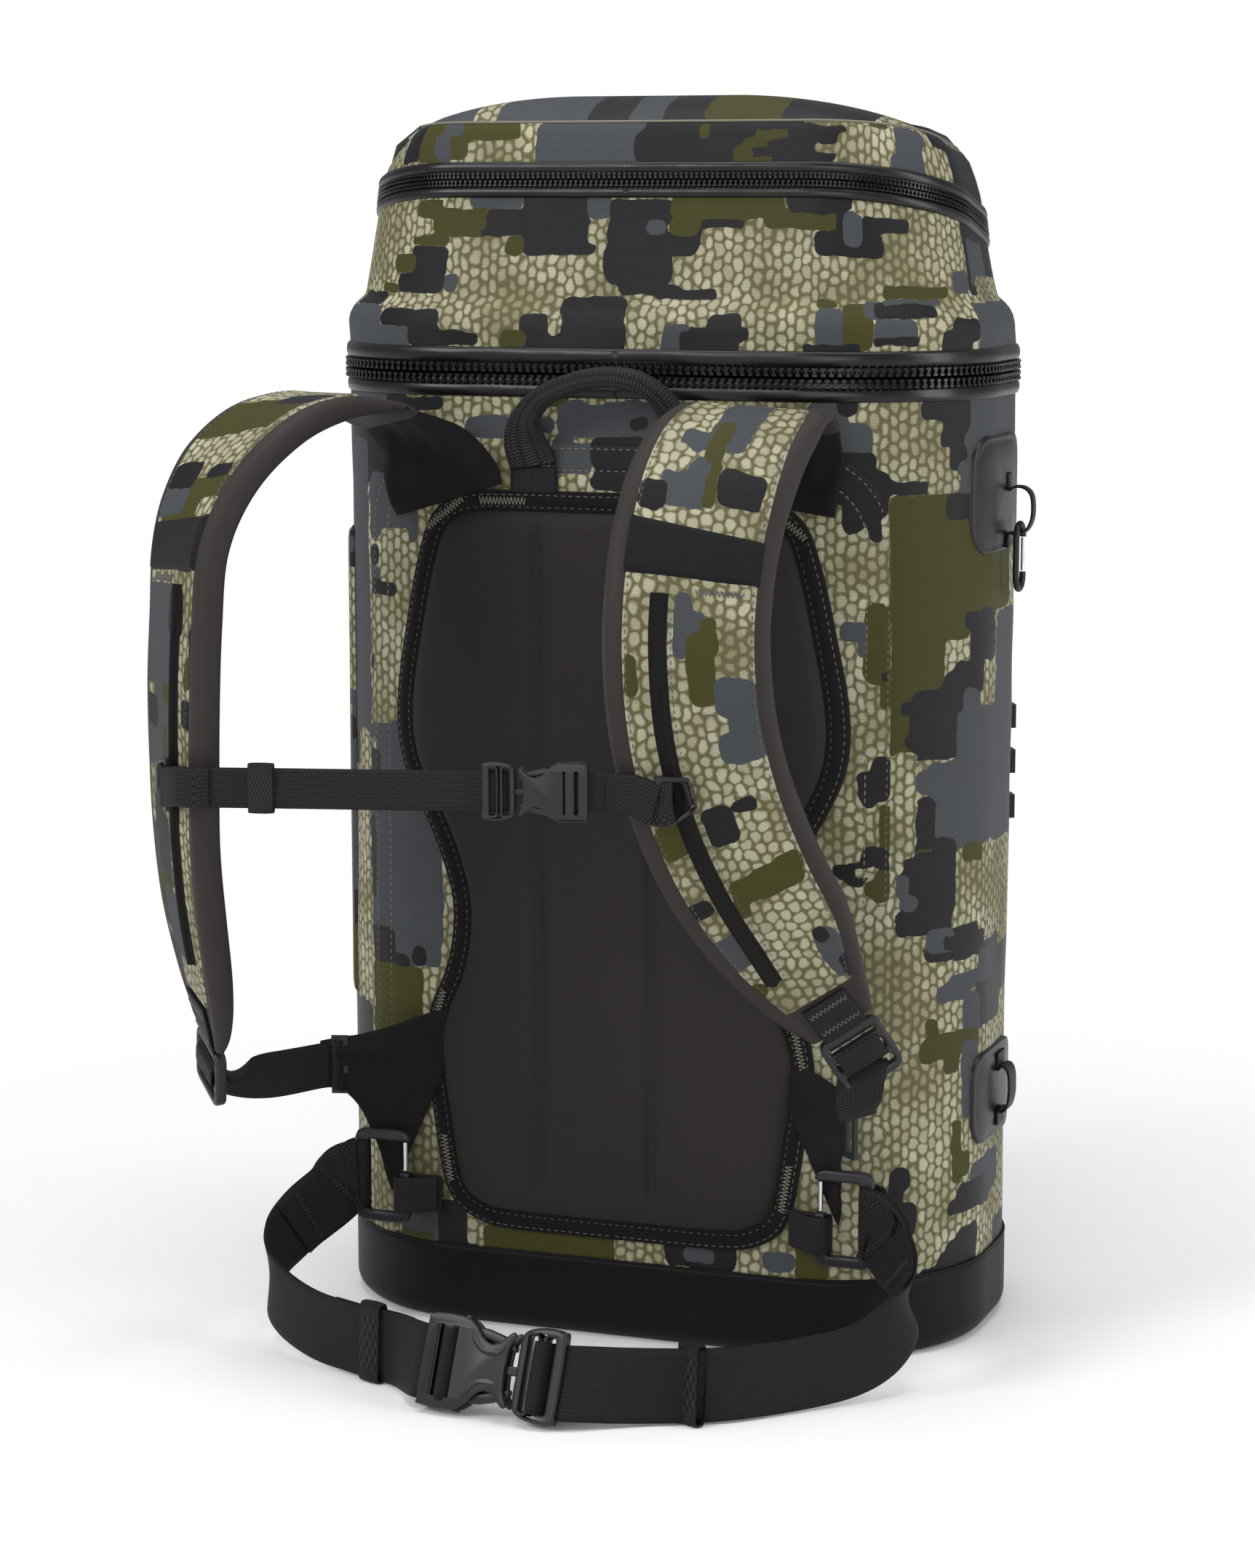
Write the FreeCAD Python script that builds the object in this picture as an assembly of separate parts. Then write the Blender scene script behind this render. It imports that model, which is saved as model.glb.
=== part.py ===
import FreeCAD, Part
import math, os

# Tackle backpack. Millimetres. Origin: middle of the base's underside.
# -Y is the harness side (the wearer's back), +X is to the right seen from there, +Z is up.

V = FreeCAD.Vector
os.makedirs("parts", exist_ok=True)

# ---- driving dimensions ----
BODY_W, BODY_D, BODY_R = 362.0, 200.0, 86.0
BASE_FLOOR, BASE_H = 12.0, 43.0
WALL = 4.0
SPLIT_Z = 518.0            # main zip line
COLLAR_TOP = 543.0
ZIP_SLOPE = 0.225          # fall of the upper zip towards the front
UZ_BACK, UZ_INSET = 618.0, 17.5
TOP_Z = 653.0
TAPE_T, TEETH_T = 1.4, 2.8
PAD_T0, PAD_T1, BIND_T1 = 1.2, 8.0, 5.2
BELT_W, BELT_T = 38.0, 2.0
ADJ_W, STERNUM_W = 25.0, 20.0

NODES = {}
def save(name, shape):
    """Add the solids of a shape (or list of shapes) to a node."""
    solids = shape.Solids if not isinstance(shape, list) else [s for q in shape for s in q.Solids]
    NODES.setdefault(name, []).extend([s for s in solids if s.Volume > 1.0])

def export_all():
    for name in sorted(NODES):
        good = NODES[name]
        out = good[0] if len(good) == 1 else Part.makeCompound(good)
        if not out.isValid():
            out.fix(1e-4, 1e-4, 1e-3)
        print("%-26s solids %d  valid %s  z %.1f..%.1f" % (name, len(good), out.isValid(), out.BoundBox.ZMin, out.BoundBox.ZMax))
        out.exportStep("parts/%s.step" % name)

def box(x0, x1, y0, y1, z0, z1):
    return Part.makeBox(x1 - x0, y1 - y0, z1 - z0, V(x0, y0, z0))

def rrect(w, d, r, z, cy=0.0, slope=0.0, yb=0.0):
    """Rounded rectangle; each point drops by slope*(y - yb)."""
    a, b = w / 2.0, d / 2.0
    r = min(r, a - 0.01, b - 0.01)
    k = r * (1 - math.sqrt(0.5))
    def p(x, y):
        y = y + cy
        return V(x, y, z - slope * (y - yb))
    e = [Part.makeLine(p(-a + r, -b), p(a - r, -b)),
         Part.Arc(p(a - r, -b), p(a - k, -b + k), p(a, -b + r)).toShape(),
         Part.makeLine(p(a, -b + r), p(a, b - r)),
         Part.Arc(p(a, b - r), p(a - k, b - k), p(a - r, b)).toShape(),
         Part.makeLine(p(a - r, b), p(-a + r, b)),
         Part.Arc(p(-a + r, b), p(-a + k, b - k), p(-a, b - r)).toShape(),
         Part.makeLine(p(-a, b - r), p(-a, -b + r)),
         Part.Arc(p(-a, -b + r), p(-a + k, -b + k), p(-a + r, -b)).toShape()]
    return Part.Wire(e)

def prism(inset, z0, z1, cy=0.0, dd=0.0):
    w = rrect(BODY_W - 2 * inset, BODY_D - 2 * inset - dd, BODY_R - inset, z0, cy)
    return Part.Face(w).extrude(V(0, 0, z1 - z0))

def sec(inset, z, slope=0.0):
    """Footprint section; z is its height at the harness side."""
    return rrect(BODY_W - 2 * inset, BODY_D - 2 * inset, BODY_R - inset, z, 0.0, slope, -BODY_D / 2.0 + inset)

def loft(ws):
    return Part.makeLoft(ws, True, True)

def poly_prism_y(pts, y0, y1):
    """Closed smooth outline in XZ, extruded along Y."""
    vs = [V(x, y0, z) for x, z in pts]
    b = Part.BSplineCurve()
    b.interpolate(vs, PeriodicFlag=True)
    return Part.Face(Part.Wire(b.toShape())).extrude(V(0, y1 - y0, 0))

def offset_pts(pts, d):
    out, n = [], len(pts)
    for i in range(n):
        x0, z0 = pts[i - 1]
        x1, z1 = pts[(i + 1) % n]
        tx, tz = x1 - x0, z1 - z0
        l = math.hypot(tx, tz)
        out.append((pts[i][0] - tz / l * d, pts[i][1] + tx / l * d))
    return out

def place(shape, o, u, v):
    u = V(*u); u.normalize()
    v = V(*v); v = v - u * v.dot(u); v.normalize()
    n = u.cross(v)
    m = FreeCAD.Matrix(u.x, v.x, n.x, o[0], u.y, v.y, n.y, o[1], u.z, v.z, n.z, o[2], 0, 0, 0, 1)
    s = shape.copy()
    s.transformShape(m, False)
    return s

def ribbon(st, t):
    """st: list of (centre, width direction, width) or (..., thickness). Rectangular section swept along."""
    P = [V(*s[0]) for s in st]
    wires, n = [], len(P)
    for i in range(n):
        T = P[min(i + 1, n - 1)] - P[max(i - 1, 0)]
        T.normalize()
        W = V(*st[i][1]); W = W - T * W.dot(T); W.normalize()
        N = T.cross(W)
        w = st[i][2] / 2.0
        h = (st[i][3] if len(st[i]) > 3 else t) / 2.0
        c = [P[i] + W * a + N * b for a, b in ((-w, -h), (w, -h), (w, h), (-w, h))]
        wires.append(Part.makePolygon(c + [c[0]]))
    return Part.makeLoft(wires, True, True)

# ================= body =================
floor_ = prism(-1.5, 0, BASE_FLOOR)
low = [e for e in floor_.Edges if e.BoundBox.ZMax < 0.01]
floor_ = floor_.makeFillet(10.0, low)
save("base_floor", floor_)
skirt = prism(-1.5, BASE_FLOOR, BASE_H).cut(prism(0, BASE_FLOOR - 1, BASE_H + 1))
save("base_skirt", skirt)

shell = prism(0, BASE_FLOOR, SPLIT_Z - 0.4).cut(prism(WALL, BASE_FLOOR + WALL, SPLIT_Z + 5))
save("body_shell", shell)
lin = prism(WALL, 20, 510, 1.5, 3.0).cut(prism(WALL + 1, 21, 515, 1.5, 3.0))
save("inner_liner", lin)
save("stiffener_boards", [prism(WALL + 5, 16.2, 19.8, 1.5, 3.0), box(-85, 85, -95.8, -93.4, 24, 500)])

# overlay panel on the harness side, wrapped round the rear corners
def outline_overlay(hw, z0, z1, r):
    pts = [V(-hw, -130, z0), V(hw, -130, z0), V(hw, -130, z1 - r)]
    k = r * (1 - math.sqrt(0.5))
    e = [Part.makeLine(pts[0], pts[1]), Part.makeLine(pts[1], pts[2]),
         Part.Arc(V(hw, -130, z1 - r), V(hw - k, -130, z1 - k), V(hw - r, -130, z1)).toShape(),
         Part.makeLine(V(hw - r, -130, z1), V(-hw + r, -130, z1)),
         Part.Arc(V(-hw + r, -130, z1), V(-hw + k, -130, z1 - k), V(-hw, -130, z1 - r)).toShape(),
         Part.makeLine(V(-hw, -130, z1 - r), V(-hw, -130, z0))]
    return Part.Face(Part.Wire(e)).extrude(V(0, 130, 0))
ov = prism(-PAD_T0, BASE_H + 0.3, 490).cut(prism(0, BASE_H, 491)).common(outline_overlay(146, BASE_H + 0.3, 482, 50))
save("back_overlay", ov)

PAD_HALF = [(56, 62), (58, 76), (66, 91), (80, 99), (100, 103), (120, 106), (140, 109), (160, 110), (178, 106), (196, 98),
            (215, 93.5), (235, 93), (255, 98), (275, 106), (293, 116), (312, 124), (332, 127), (355, 125.5), (380, 121),
            (405, 116), (425, 111), (441, 105), (451, 95), (456, 80)]
PAD_PTS = [(x, z) for z, x in PAD_HALF] + [(0, 457)] + [(-x, z) for z, x in reversed(PAD_HALF)] + [(0, 55.5)]
pad_out = poly_prism_y(PAD_PTS, -125, -40)
PAD_IN = offset_pts(PAD_PTS, 11.0)
if abs(PAD_IN[6][0]) > PAD_PTS[6][0]:
    PAD_IN = offset_pts(PAD_PTS, -11.0)
pad_in = poly_prism_y(PAD_IN, -126, -39)
pad = prism(-PAD_T1, 45, 470).cut(prism(-PAD_T0, 44, 471)).common(pad_in)
save("back_pad", pad)
bind = prism(-BIND_T1, 45, 470).cut(prism(-PAD_T0, 44, 471)).common(pad_out).cut(pad_in)
save("back_pad_binding", bind)

# main zip, U-shaped: open at the front
front_cut = box(-94, 94, 60, 130, 480, 560)
tape_l = prism(-TAPE_T, 506, 517.4).cut(prism(0, 505, 519)).cut(front_cut)
teeth_l = prism(-TEETH_T, 513.7, 517.6).cut(prism(-TAPE_T, 513, 518)).cut(front_cut)
save("main_zip_lower", tape_l.fuse(teeth_l).removeSplitter())
save("main_zip_lower", [box(s * 82 - 11, s * 82 + 11, 100, 103.2, 504, 517.2) for s in (-1, 1)])
save("lid_hinge_fabric", box(-68, 68, 100.2, 101.4, 507, 529))

# side patches with loops, right side
def patch(y0, y1, z0, z1, r):
    k = r * 0.3
    pts = [(y0 + r, z0), (y1 - r, z0), (y1 - k, z0 + k), (y1, z0 + r), (y1, z1 - r), (y1 - k, z1 - k), (y1 - r, z1),
           (y0 + r, z1), (y0 + k, z1 - k), (y0, z1 - r), (y0, z0 + r), (y0 + k, z0 + k)]
    w = Part.makePolygon([V(100, y, z) for y, z in pts + [pts[0]]])
    return Part.Face(w).extrude(V(120, 0, 0))
ring2 = prism(-2.0, 90, 500).cut(prism(0, 89, 501))
save("side_patches", [ring2.common(patch(-46, 28, 424, 486, 16)), ring2.common(patch(-38, 32, 106, 156, 14))])
def side_loop(zc, y):
    # strap loop standing off the side, open along Y
    o = box(183.03, 197, y - 3.5, y + 3.5, zc - 13, zc + 13)
    o = o.makeFillet(4.5, [e for e in o.Edges if e.BoundBox.XMin > 196.9 and e.BoundBox.YLength > 6.5])
    return o.cut(box(185.2, 194.4, y - 7, y + 7, zc - 10.5, zc + 10.5))
save("side_loops", side_loop(445, 4))
save("side_loops", side_loop(131, 4))

# left side panel with its bound edge
ring3 = prism(-2.4, 160, 445).cut(prism(0, 159, 446))
save("side_panel_left", ring3.common(box(-200, -120, -62, 44, 170, 430)))

# daisy strips on both front corners with three raised segments each
def wedge(z0, z1, s, a0, a1, R=140):
    cx, cy = s * (BODY_W / 2 - BODY_R), BODY_D / 2 - BODY_R
    pts = [V(cx, cy, z0), V(cx + s * R * math.cos(math.radians(a0)), cy + R * math.sin(math.radians(a0)), z0),
           V(cx + s * R * math.cos(math.radians(a1)), cy + R * math.sin(math.radians(a1)), z0), V(cx, cy, z0)]
    return Part.Face(Part.makePolygon(pts)).extrude(V(0, 0, z1 - z0))
strips = []
for s in (-1, 1):
    a = prism(-1.6, 200, 470).cut(prism(0, 199, 471)).common(wedge(210, 460, s, 26, 44))
    for zc in (278, 303, 328):
        a = a.fuse(prism(-4.6, zc - 6.5, zc + 6.5).cut(prism(-1.0, zc - 7, zc + 7)).common(wedge(zc - 6.5, zc + 6.5, s, 24, 46)))
    strips.append(a.removeSplitter())
save("front_daisy", strips)

# ================= lid =================
uz = lambda inset, dz=0.0: sec(inset, UZ_BACK + dz, ZIP_SLOPE)
lid_out = loft([sec(0, SPLIT_Z + 0.4), sec(0, COLLAR_TOP), sec(4, 552), sec(10, 558), uz(UZ_INSET, -0.4)])
lid_in = loft([sec(4, SPLIT_Z - 1), sec(4, COLLAR_TOP - 2), sec(8, 550), sec(14, 556), uz(UZ_INSET + 3.6, 1.5)])
lid_floor = prism(4, 521, 523.5)
save("lid_shell", lid_out.cut(lid_in))
save("lid_floor", lid_floor)
tape_u = prism(-TAPE_T, 518.6, 531).cut(prism(0, 518, 532)).cut(front_cut)
teeth_u = prism(-TEETH_T, 518.4, 522.3).cut(prism(-TAPE_T, 518, 523)).cut(front_cut)
save("main_zip_upper", tape_u.fuse(teeth_u).removeSplitter())

cap_out = loft([uz(UZ_INSET, 0.4), sec(20.0, 636, 0.17), sec(22.5, 644, 0.14), sec(27, 650, 0.12), sec(35, TOP_Z, 0.10)])
cap_in = loft([uz(UZ_INSET + 3.6, -1.0), sec(23.6, 634, 0.17), sec(26, 641, 0.14), sec(30.5, 646, 0.12), sec(38, TOP_Z - 3.6, 0.10)])
save("cap_shell", cap_out.cut(cap_in))

fc2 = box(-78, 78, 40, 130, 540, 640)
def uband(z0, z1, off, side):
    """Band proud of the lid wall (side -1) or the cap wall (side +1) by off, between heights z0 and z1 from the zip plane."""
    if side < 0:
        i = lambda dz: UZ_INSET + dz * 0.125
    else:
        i = lambda dz: UZ_INSET + dz * 0.135
    return loft([uz(i(z0) - off, z0), uz(i(z1) - off, z1)])
lid_tape = uband(-9.0, -0.6, TAPE_T, -1).cut(lid_out).cut(loft([uz(UZ_INSET + 0.5 - 9 * 0.125, -9.5), uz(UZ_INSET + 0.5, 1)])).cut(fc2)
lid_teeth = uband(-3.4, -0.4, TEETH_T, -1).cut(uband(-9.0, 1.0, TAPE_T, -1)).cut(fc2)
save("cap_zip_lower", [lid_tape, lid_teeth])
cap_tape = uband(0.6, 9.0, TAPE_T, 1).cut(cap_out).cut(loft([uz(UZ_INSET + 0.5, -1), uz(UZ_INSET + 0.5 + 9 * 0.135, 9.5)])).cut(fc2)
cap_teeth = uband(0.4, 3.4, TEETH_T, 1).cut(uband(-1.0, 9.0, TAPE_T, 1)).cut(fc2)
save("cap_zip_upper", [cap_tape, cap_teeth])
hf = loft([uz(UZ_INSET - 2.6, -8), uz(UZ_INSET - 2.6, 8)]).cut(loft([uz(UZ_INSET - 1.4, -9), uz(UZ_INSET - 1.4, 9)]))
save("cap_hinge_fabric", hf.common(box(-60, 60, 60, 130, 540, 640)).cut(lid_out).cut(cap_out))

# sliders and pulls. Local frame: X outward from the teeth, Y along the zip, Z up
def slider_shape(curv_r):
    plate = box(0.6, 3.4, -12, 12, -8, 8)
    fl = box(-1.0, 3.4, -12, 12, -8, -5.2)
    lug = box(3.4, 8.0, -2.4, 2.4, -3.5, 3.5).cut(Part.makeCylinder(1.6, 8, V(5.6, -4, 0), V(0, 1, 0)))
    return plate.fuse(fl).fuse(lug).removeSplitter()
def pull_shape(length):
    pin = Part.makeCylinder(1.1, 9.6, V(5.6, -4.8, 0), V(0, 1, 0))
    arms = [box(4.4, 6.8, s * 3.9 - 0.9, s * 3.9 + 0.9, -9, 1.4) for s in (-1, 1)]
    tab = box(4.2, 7.0, -5.5, 5.5, -9 - length, -7)
    tab = tab.makeFillet(3.5, [e for e in tab.Edges if e.BoundBox.XLength > 2.7 and e.BoundBox.ZMax < -8.5 - length + 1])
    return pin.fuse(arms[0]).fuse(arms[1]).fuse(tab).removeSplitter()
A0 = math.radians(150)
cx, cy = -(BODY_W / 2 - BODY_R), BODY_D / 2 - BODY_R
er = (math.cos(A0), math.sin(A0), 0); et = (-math.sin(A0), math.cos(A0), 0)
ro = BODY_R + TEETH_T
so = (cx + ro * er[0], cy + ro * er[1], SPLIT_Z)
sl = slider_shape(0).cut(Part.makeCylinder(ro + 0.35, 10, V(-ro, 0, -5.0), V(0, 0, 1)))
sl = sl.cut(Part.makeCylinder(BODY_R + TAPE_T + 0.3, 20, V(-ro, 0, -10), V(0, 0, 1)))
save("main_slider", place(sl, so, er, et))
save("main_pull", place(pull_shape(32), so, er, et))
zc0 = UZ_BACK - ZIP_SLOPE * (BODY_D / 2 - UZ_INSET)
co = (-(BODY_W / 2 - UZ_INSET + TEETH_T), 0.0, zc0)
dz = (0, 1, -ZIP_SLOPE)
nn = V(0, -1, ZIP_SLOPE); nn.normalize()
save("cap_slider", place(slider_shape(0).cut(box(-3, 0.45, -13, 13, -4.9, 9)), (co[0] - 0.9, co[1], co[2]), (-1, 0, 0), (nn.x, nn.y, nn.z)))
save("cap_pull", place(pull_shape(20), (co[0] - 0.9, co[1], co[2]), (-1, 0, 0), (nn.x, nn.y, nn.z)))

# ================= grab handle =================
save("handle_tabs", [box(-58, -32, -103.9, -101.3, 458.5, 469.3), box(23, 49, -103.9, -101.3, 458.5, 469.3)])
HP = [((-45, -103.5, 470.2), 26, 3.0), ((-47.5, -109, 484), 24, 4.0), ((-44, -115, 497), 15, 8), ((-30, -121, 509), 11, 12),
      ((-5, -125, 517), 11, 13), ((16, -125, 517), 11, 13), ((29, -121, 510), 11, 12), ((36, -115, 498), 15, 8),
      ((37, -109, 484), 23, 4.0), ((36, -103.5, 470.2), 26, 3.0)]
wires = []
for i, (p, rw, dw) in enumerate(HP):
    P = V(*p)
    T = V(*HP[min(i + 1, 9)][0]) - V(*HP[max(i - 1, 0)][0])
    if i == 0: T = V(-0.1, -0.3, 1)
    if i == 9: T = V(-0.1, 0.3, -1)
    T.normalize()
    B = V(0, 1, 0); B = B - T * B.dot(T); B.normalize()
    R = T.cross(B)
    c = [P + R * a * rw / 2.0 + B * b * dw / 2.0 for a, b in ((-1, -1), (1, -1), (1, 1), (-1, 1))]
    wires.append(Part.makePolygon(c + [c[0]]))
save("grab_handle", Part.makeLoft(wires, True, True).cut(box(-80, 80, -130, -95, 440, 470.0)))

# ================= harness =================
# stations: centre, yaw of the outer face away from -Y (degrees, + towards +X), width, thickness
L_ST = [((-116, -127, 494), -12, 56, 4), ((-128, -142, 501), -18, 62, 7), ((-140, -168, 503), -24, 68, 11), ((-150, -200, 496), -30, 72, 14),
        ((-159, -227, 480), -35, 76, 15), ((-166, -244, 459), -40, 78, 15), ((-170, -254, 434), -44, 80, 15), ((-171, -258, 401), -45, 80, 15),
        ((-173, -258, 365), -45, 80, 15), ((-175, -255, 327), -46, 80, 15), ((-178, -248, 289), -47, 78, 15), ((-180, -237, 249), -47, 72, 15),
        ((-182, -222, 210), -47, 58, 13), ((-184, -212, 186), -47, 42, 9), ((-186, -208, 176), -47, 34, 4)]
R_ST = [((96, -121, 491), 4, 62, 4), ((95, -134, 499), 8, 70, 7), ((92, -155, 499), 14, 76, 11), ((88, -180, 487), 18, 80, 14),
        ((85, -200, 468), 22, 82, 15), ((83, -213, 446), 24, 82, 15), ((82, -221, 422), 25, 82, 15), ((82, -225, 392), 25, 82, 15),
        ((84, -221, 354), 25, 82, 15), ((90, -210, 316), 26, 82, 15), ((100, -191, 278), 27, 80, 15), ((113, -168, 243), 28, 74, 15),
        ((124, -150, 215), 28, 58, 13), ((132, -140, 199), 28, 44, 9), ((136, -136, 191), 28, 36, 4)]

def frames(ST, per=3):
    """Catmull-Rom through the stations: list of (P, T, W, N, width, thickness)."""
    n = len(ST)
    def cr(a, b, c, d, t):
        return 0.5 * ((2 * b) + (c - a) * t + (2 * a - 5 * b + 4 * c - d) * t * t + (3 * b - a - 3 * c + d) * t * t * t)
    rows = [list(s[0]) + [s[1], s[2], s[3]] for s in ST]
    dense = []
    for i in range(n - 1):
        a, b, c, d = rows[max(i - 1, 0)], rows[i], rows[i + 1], rows[min(i + 2, n - 1)]
        for k in range(per):
            dense.append([cr(a[j], b[j], c[j], d[j], k / float(per)) for j in range(6)])
    dense.append(rows[-1])
    out = []
    for i, r in enumerate(dense):
        P = V(r[0], r[1], r[2])
        q0, q1 = dense[max(i - 1, 0)], dense[min(i + 1, len(dense) - 1)]
        T = V(q1[0] - q0[0], q1[1] - q0[1], q1[2] - q0[2]); T.normalize()
        y = math.radians(r[3])
        W = V(math.cos(y), math.sin(y), 0); W = W - T * W.dot(T); W.normalize()
        N = W.cross(T)
        if N.dot(V(0, -1, 0.25)) < 0: N = N * -1
        out.append((P, T, W, N, r[4], r[5]))
    return out

def slab(fr, w0, w1, n0, n1, i0=0, i1=None, cham=0.0):
    """Solid between width offsets w0..w1 (fractions of the half width when callables) and normal offsets n0..n1."""
    ws = []
    for (P, T, W, N, w, t) in fr[i0:i1]:
        a, b = (w0(w, t), w1(w, t)) if callable(w0) else (w0, w1)
        c, d = (n0(w, t), n1(w, t)) if callable(n0) else (n0, n1)
        if cham:
            k = min(cham, (d - c) * 0.3)
            q = [(a + k, c), (b - k, c), (b, c + k), (b, d - k), (b - k, d), (a + k, d), (a, d - k), (a, c + k)]
        else:
            q = [(a, c), (b, c), (b, d), (a, d)]
        pts = [P + W * x + N * y for x, y in q]
        ws.append(Part.makePolygon(pts + [pts[0]]))
    return Part.makeLoft(ws, True, True)

FL, FR = frames(L_ST), frames(R_ST)
PADS = {}
for nm, fr in (("left", FL), ("right", FR)):
    pd = slab(fr, lambda w, t: -w / 2, lambda w, t: w / 2, lambda w, t: -t / 2, lambda w, t: t / 2, cham=4.5)
    PADS[nm] = pd
    save("shoulder_pads", pd)
    save("strap_faces", slab(fr, lambda w, t: -w / 2 + 9, lambda w, t: w / 2 - 9, lambda w, t: t / 2 + 0.03, lambda w, t: t / 2 + 1.2, 6, 37))

def at(fr, z):
    best = min(range(12, len(fr)), key=lambda i: abs(fr[i][0].z - z))
    return best
RAIL = {"left": 13.0, "right": -15.0}     # rail offset from the strap centre, towards the chest
for nm, fr in (("left", FL), ("right", FR)):
    i0 = at(fr, 436)
    save("strap_bands", slab(fr, lambda w, t: -w / 2 + 8, lambda w, t: w / 2 - 8, lambda w, t: t / 2 + 1.26, lambda w, t: t / 2 + 2.8, i0 - 1, i0 + 2))
    o = RAIL[nm]
    i1 = at(fr, 415); i2 = at(fr, 246)
    save("strap_rails", slab(fr, o - 2.0, o + 2.0, lambda w, t: t / 2 + 1.26, lambda w, t: t / 2 + 4.8, i1, i2, cham=1.1))

# strap roots: flat fabric from the pad's top edge to the start of each padded strap
solid_body = prism(-PAD_T0 - 0.02, 30, 500)
bind_block = prism(-BIND_T1 - 0.02, 45, 470).common(pad_out)
def root(fr, pts):
    P, T, W, N, w, t = fr[0]
    e = P - T * 2.0
    st = [(p, wd, ww) for p, wd, ww in pts] + [((e.x, e.y, e.z), (W.x, W.y, W.z), w)]
    return ribbon(st, 2.4).cut(solid_body).cut(bind_block).cut(PADS["left"]).cut(PADS["right"])
save("strap_roots", root(FL, [((-80, -102.7, 458.6), (1, 0, 0), 46), ((-88, -105.5, 468), (1, -0.02, 0), 48), ((-101, -113.5, 482), (1, -0.1, 0), 52)]))
save("strap_roots", root(FR, [((88, -102.7, 458.6), (1, 0, 0), 54), ((91, -105.5, 468), (1, 0.02, 0), 56), ((94, -112, 481), (1, 0.05, 0), 60)]))

# sternum strap: clips on the rails, webbing, buckle
SZ = 322.0
def rail_pt(nm, fr, z=SZ):
    """Frame on the rail's root where the rail passes height z."""
    def q(i):
        P, T, W, N, w, t = fr[i]
        return P + W * RAIL[nm] + N * (t / 2 + 1.2)
    for i in range(14, len(fr) - 1):
        a, b = q(i), q(i + 1)
        if (a.z - z) * (b.z - z) <= 0:
            k = (a.z - z) / (a.z - b.z)
            mix = lambda u, v: u * (1 - k) + v * k
            T, W, N = [mix(fr[i][j], fr[i + 1][j]) for j in (1, 2, 3)]
            for t_ in (T, W, N): t_.normalize()
            return mix(a, b), T, W, N, i
SLIDE = V(0.0, -0.13, 0.99); SLIDE.normalize()
clips, CL = {}, []
for nm, fr in (("left", FL), ("right", FR)):
    Q, T, W, N, i = rail_pt(nm, fr)
    b = box(-6.5, 6.5, -11.5, 11.5, 0.9, 9.5)
    b = b.cut(box(-3.4, 3.4, -13, 13, 0, 5.2))
    b = b.makeChamfer(1.5, [e for e in b.Edges if e.BoundBox.ZMin > 9.4 and e.BoundBox.YLength > 20])
    clips[nm] = (Q, W, N)
    # local X = width, Y = up the strap, Z = outward
    up = T * -1
    sh = place(b, (Q.x, Q.y, Q.z), (W.x, W.y, W.z), (up.x, up.y, up.z))
    if sh.BoundBox.Center.sub(Q).dot(N) < 0:
        sh = place(b, (Q.x, Q.y, Q.z), (-W.x, -W.y, -W.z), (up.x, up.y, up.z))
    CL.append(sh)
    save("sternum_clips", sh)

def frame_of(o, u, v):
    u = V(*u); u.normalize(); v = V(*v); v = v - u * v.dot(u); v.normalize()
    return V(*o), u, v, u.cross(v)
# buckle local frame: x from the male end to the female end (or the reverse), y across, z outward
def buckle(L, W, T, webw, gap=0.35):
    """Female body at -x, male at +x. Returns female, male, prong_up, prong_down."""
    h, q = W / 2.0, T / 2.0
    fem = box(-L * 0.50, L * 0.10, -h, h, -q, q)
    fem = fem.makeFillet(q * 0.55, [e for e in fem.Edges if e.BoundBox.XLength > L * 0.5])
    cav = box(-L * 0.22, L * 0.2, -h * 0.76, h * 0.76, -q * 0.58, q * 0.58)
    win = box(-L * 0.20, -L * 0.02, -h * 1.1, h * 1.1, -q * 0.62, q * 0.62)
    slot = box(-L * 0.43, -L * 0.36, -webw / 2 - 0.8, webw / 2 + 0.8, -q * 2, q * 2)
    slot2 = box(-L * 0.31, -L * 0.255, -webw / 2 - 0.8, webw / 2 + 0.8, -q * 2, q * 2)
    fem = fem.cut(cav).cut(win).cut(slot).cut(slot2)
    male = box(L * 0.10 + gap, L * 0.50, -h, h, -q * 0.8, q * 0.8)
    male = male.makeFillet(q * 0.4, [e for e in male.Edges if e.BoundBox.XLength > L * 0.3])
    for a, b in ((0.24, 0.30), (0.37, 0.43)):
        male = male.cut(box(L * a, L * b, -webw / 2 - 0.8, webw / 2 + 0.8, -q * 2, q * 2))
    guide = box(-L * 0.10, L * 0.14, -h * 0.10, h * 0.10, -q * 0.45, q * 0.45)
    # notches the prong roots turn in
    nz = box(L * 0.05, L * 0.165, h * 0.30, h * 0.84, -q, q).fuse(box(L * 0.05, L * 0.165, -h * 0.84, -h * 0.30, -q, q))
    male = male.cut(nz).fuse(guide)
    pr = []
    for s in (1, -1):
        y0, y1 = sorted((s * h * 0.50, s * h * 0.70))
        arm = box(-L * 0.17, L * 0.155, y0, y1, -q * 0.5, q * 0.5)
        y2, y3 = sorted((s * h * 0.56, s * h * 0.745))
        head = box(-L * 0.185, -L * 0.045, y2, y3, -q * 0.5, q * 0.5)
        pr.append(arm.fuse(head).removeSplitter())
    return fem, male, pr[0], pr[1]

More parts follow.
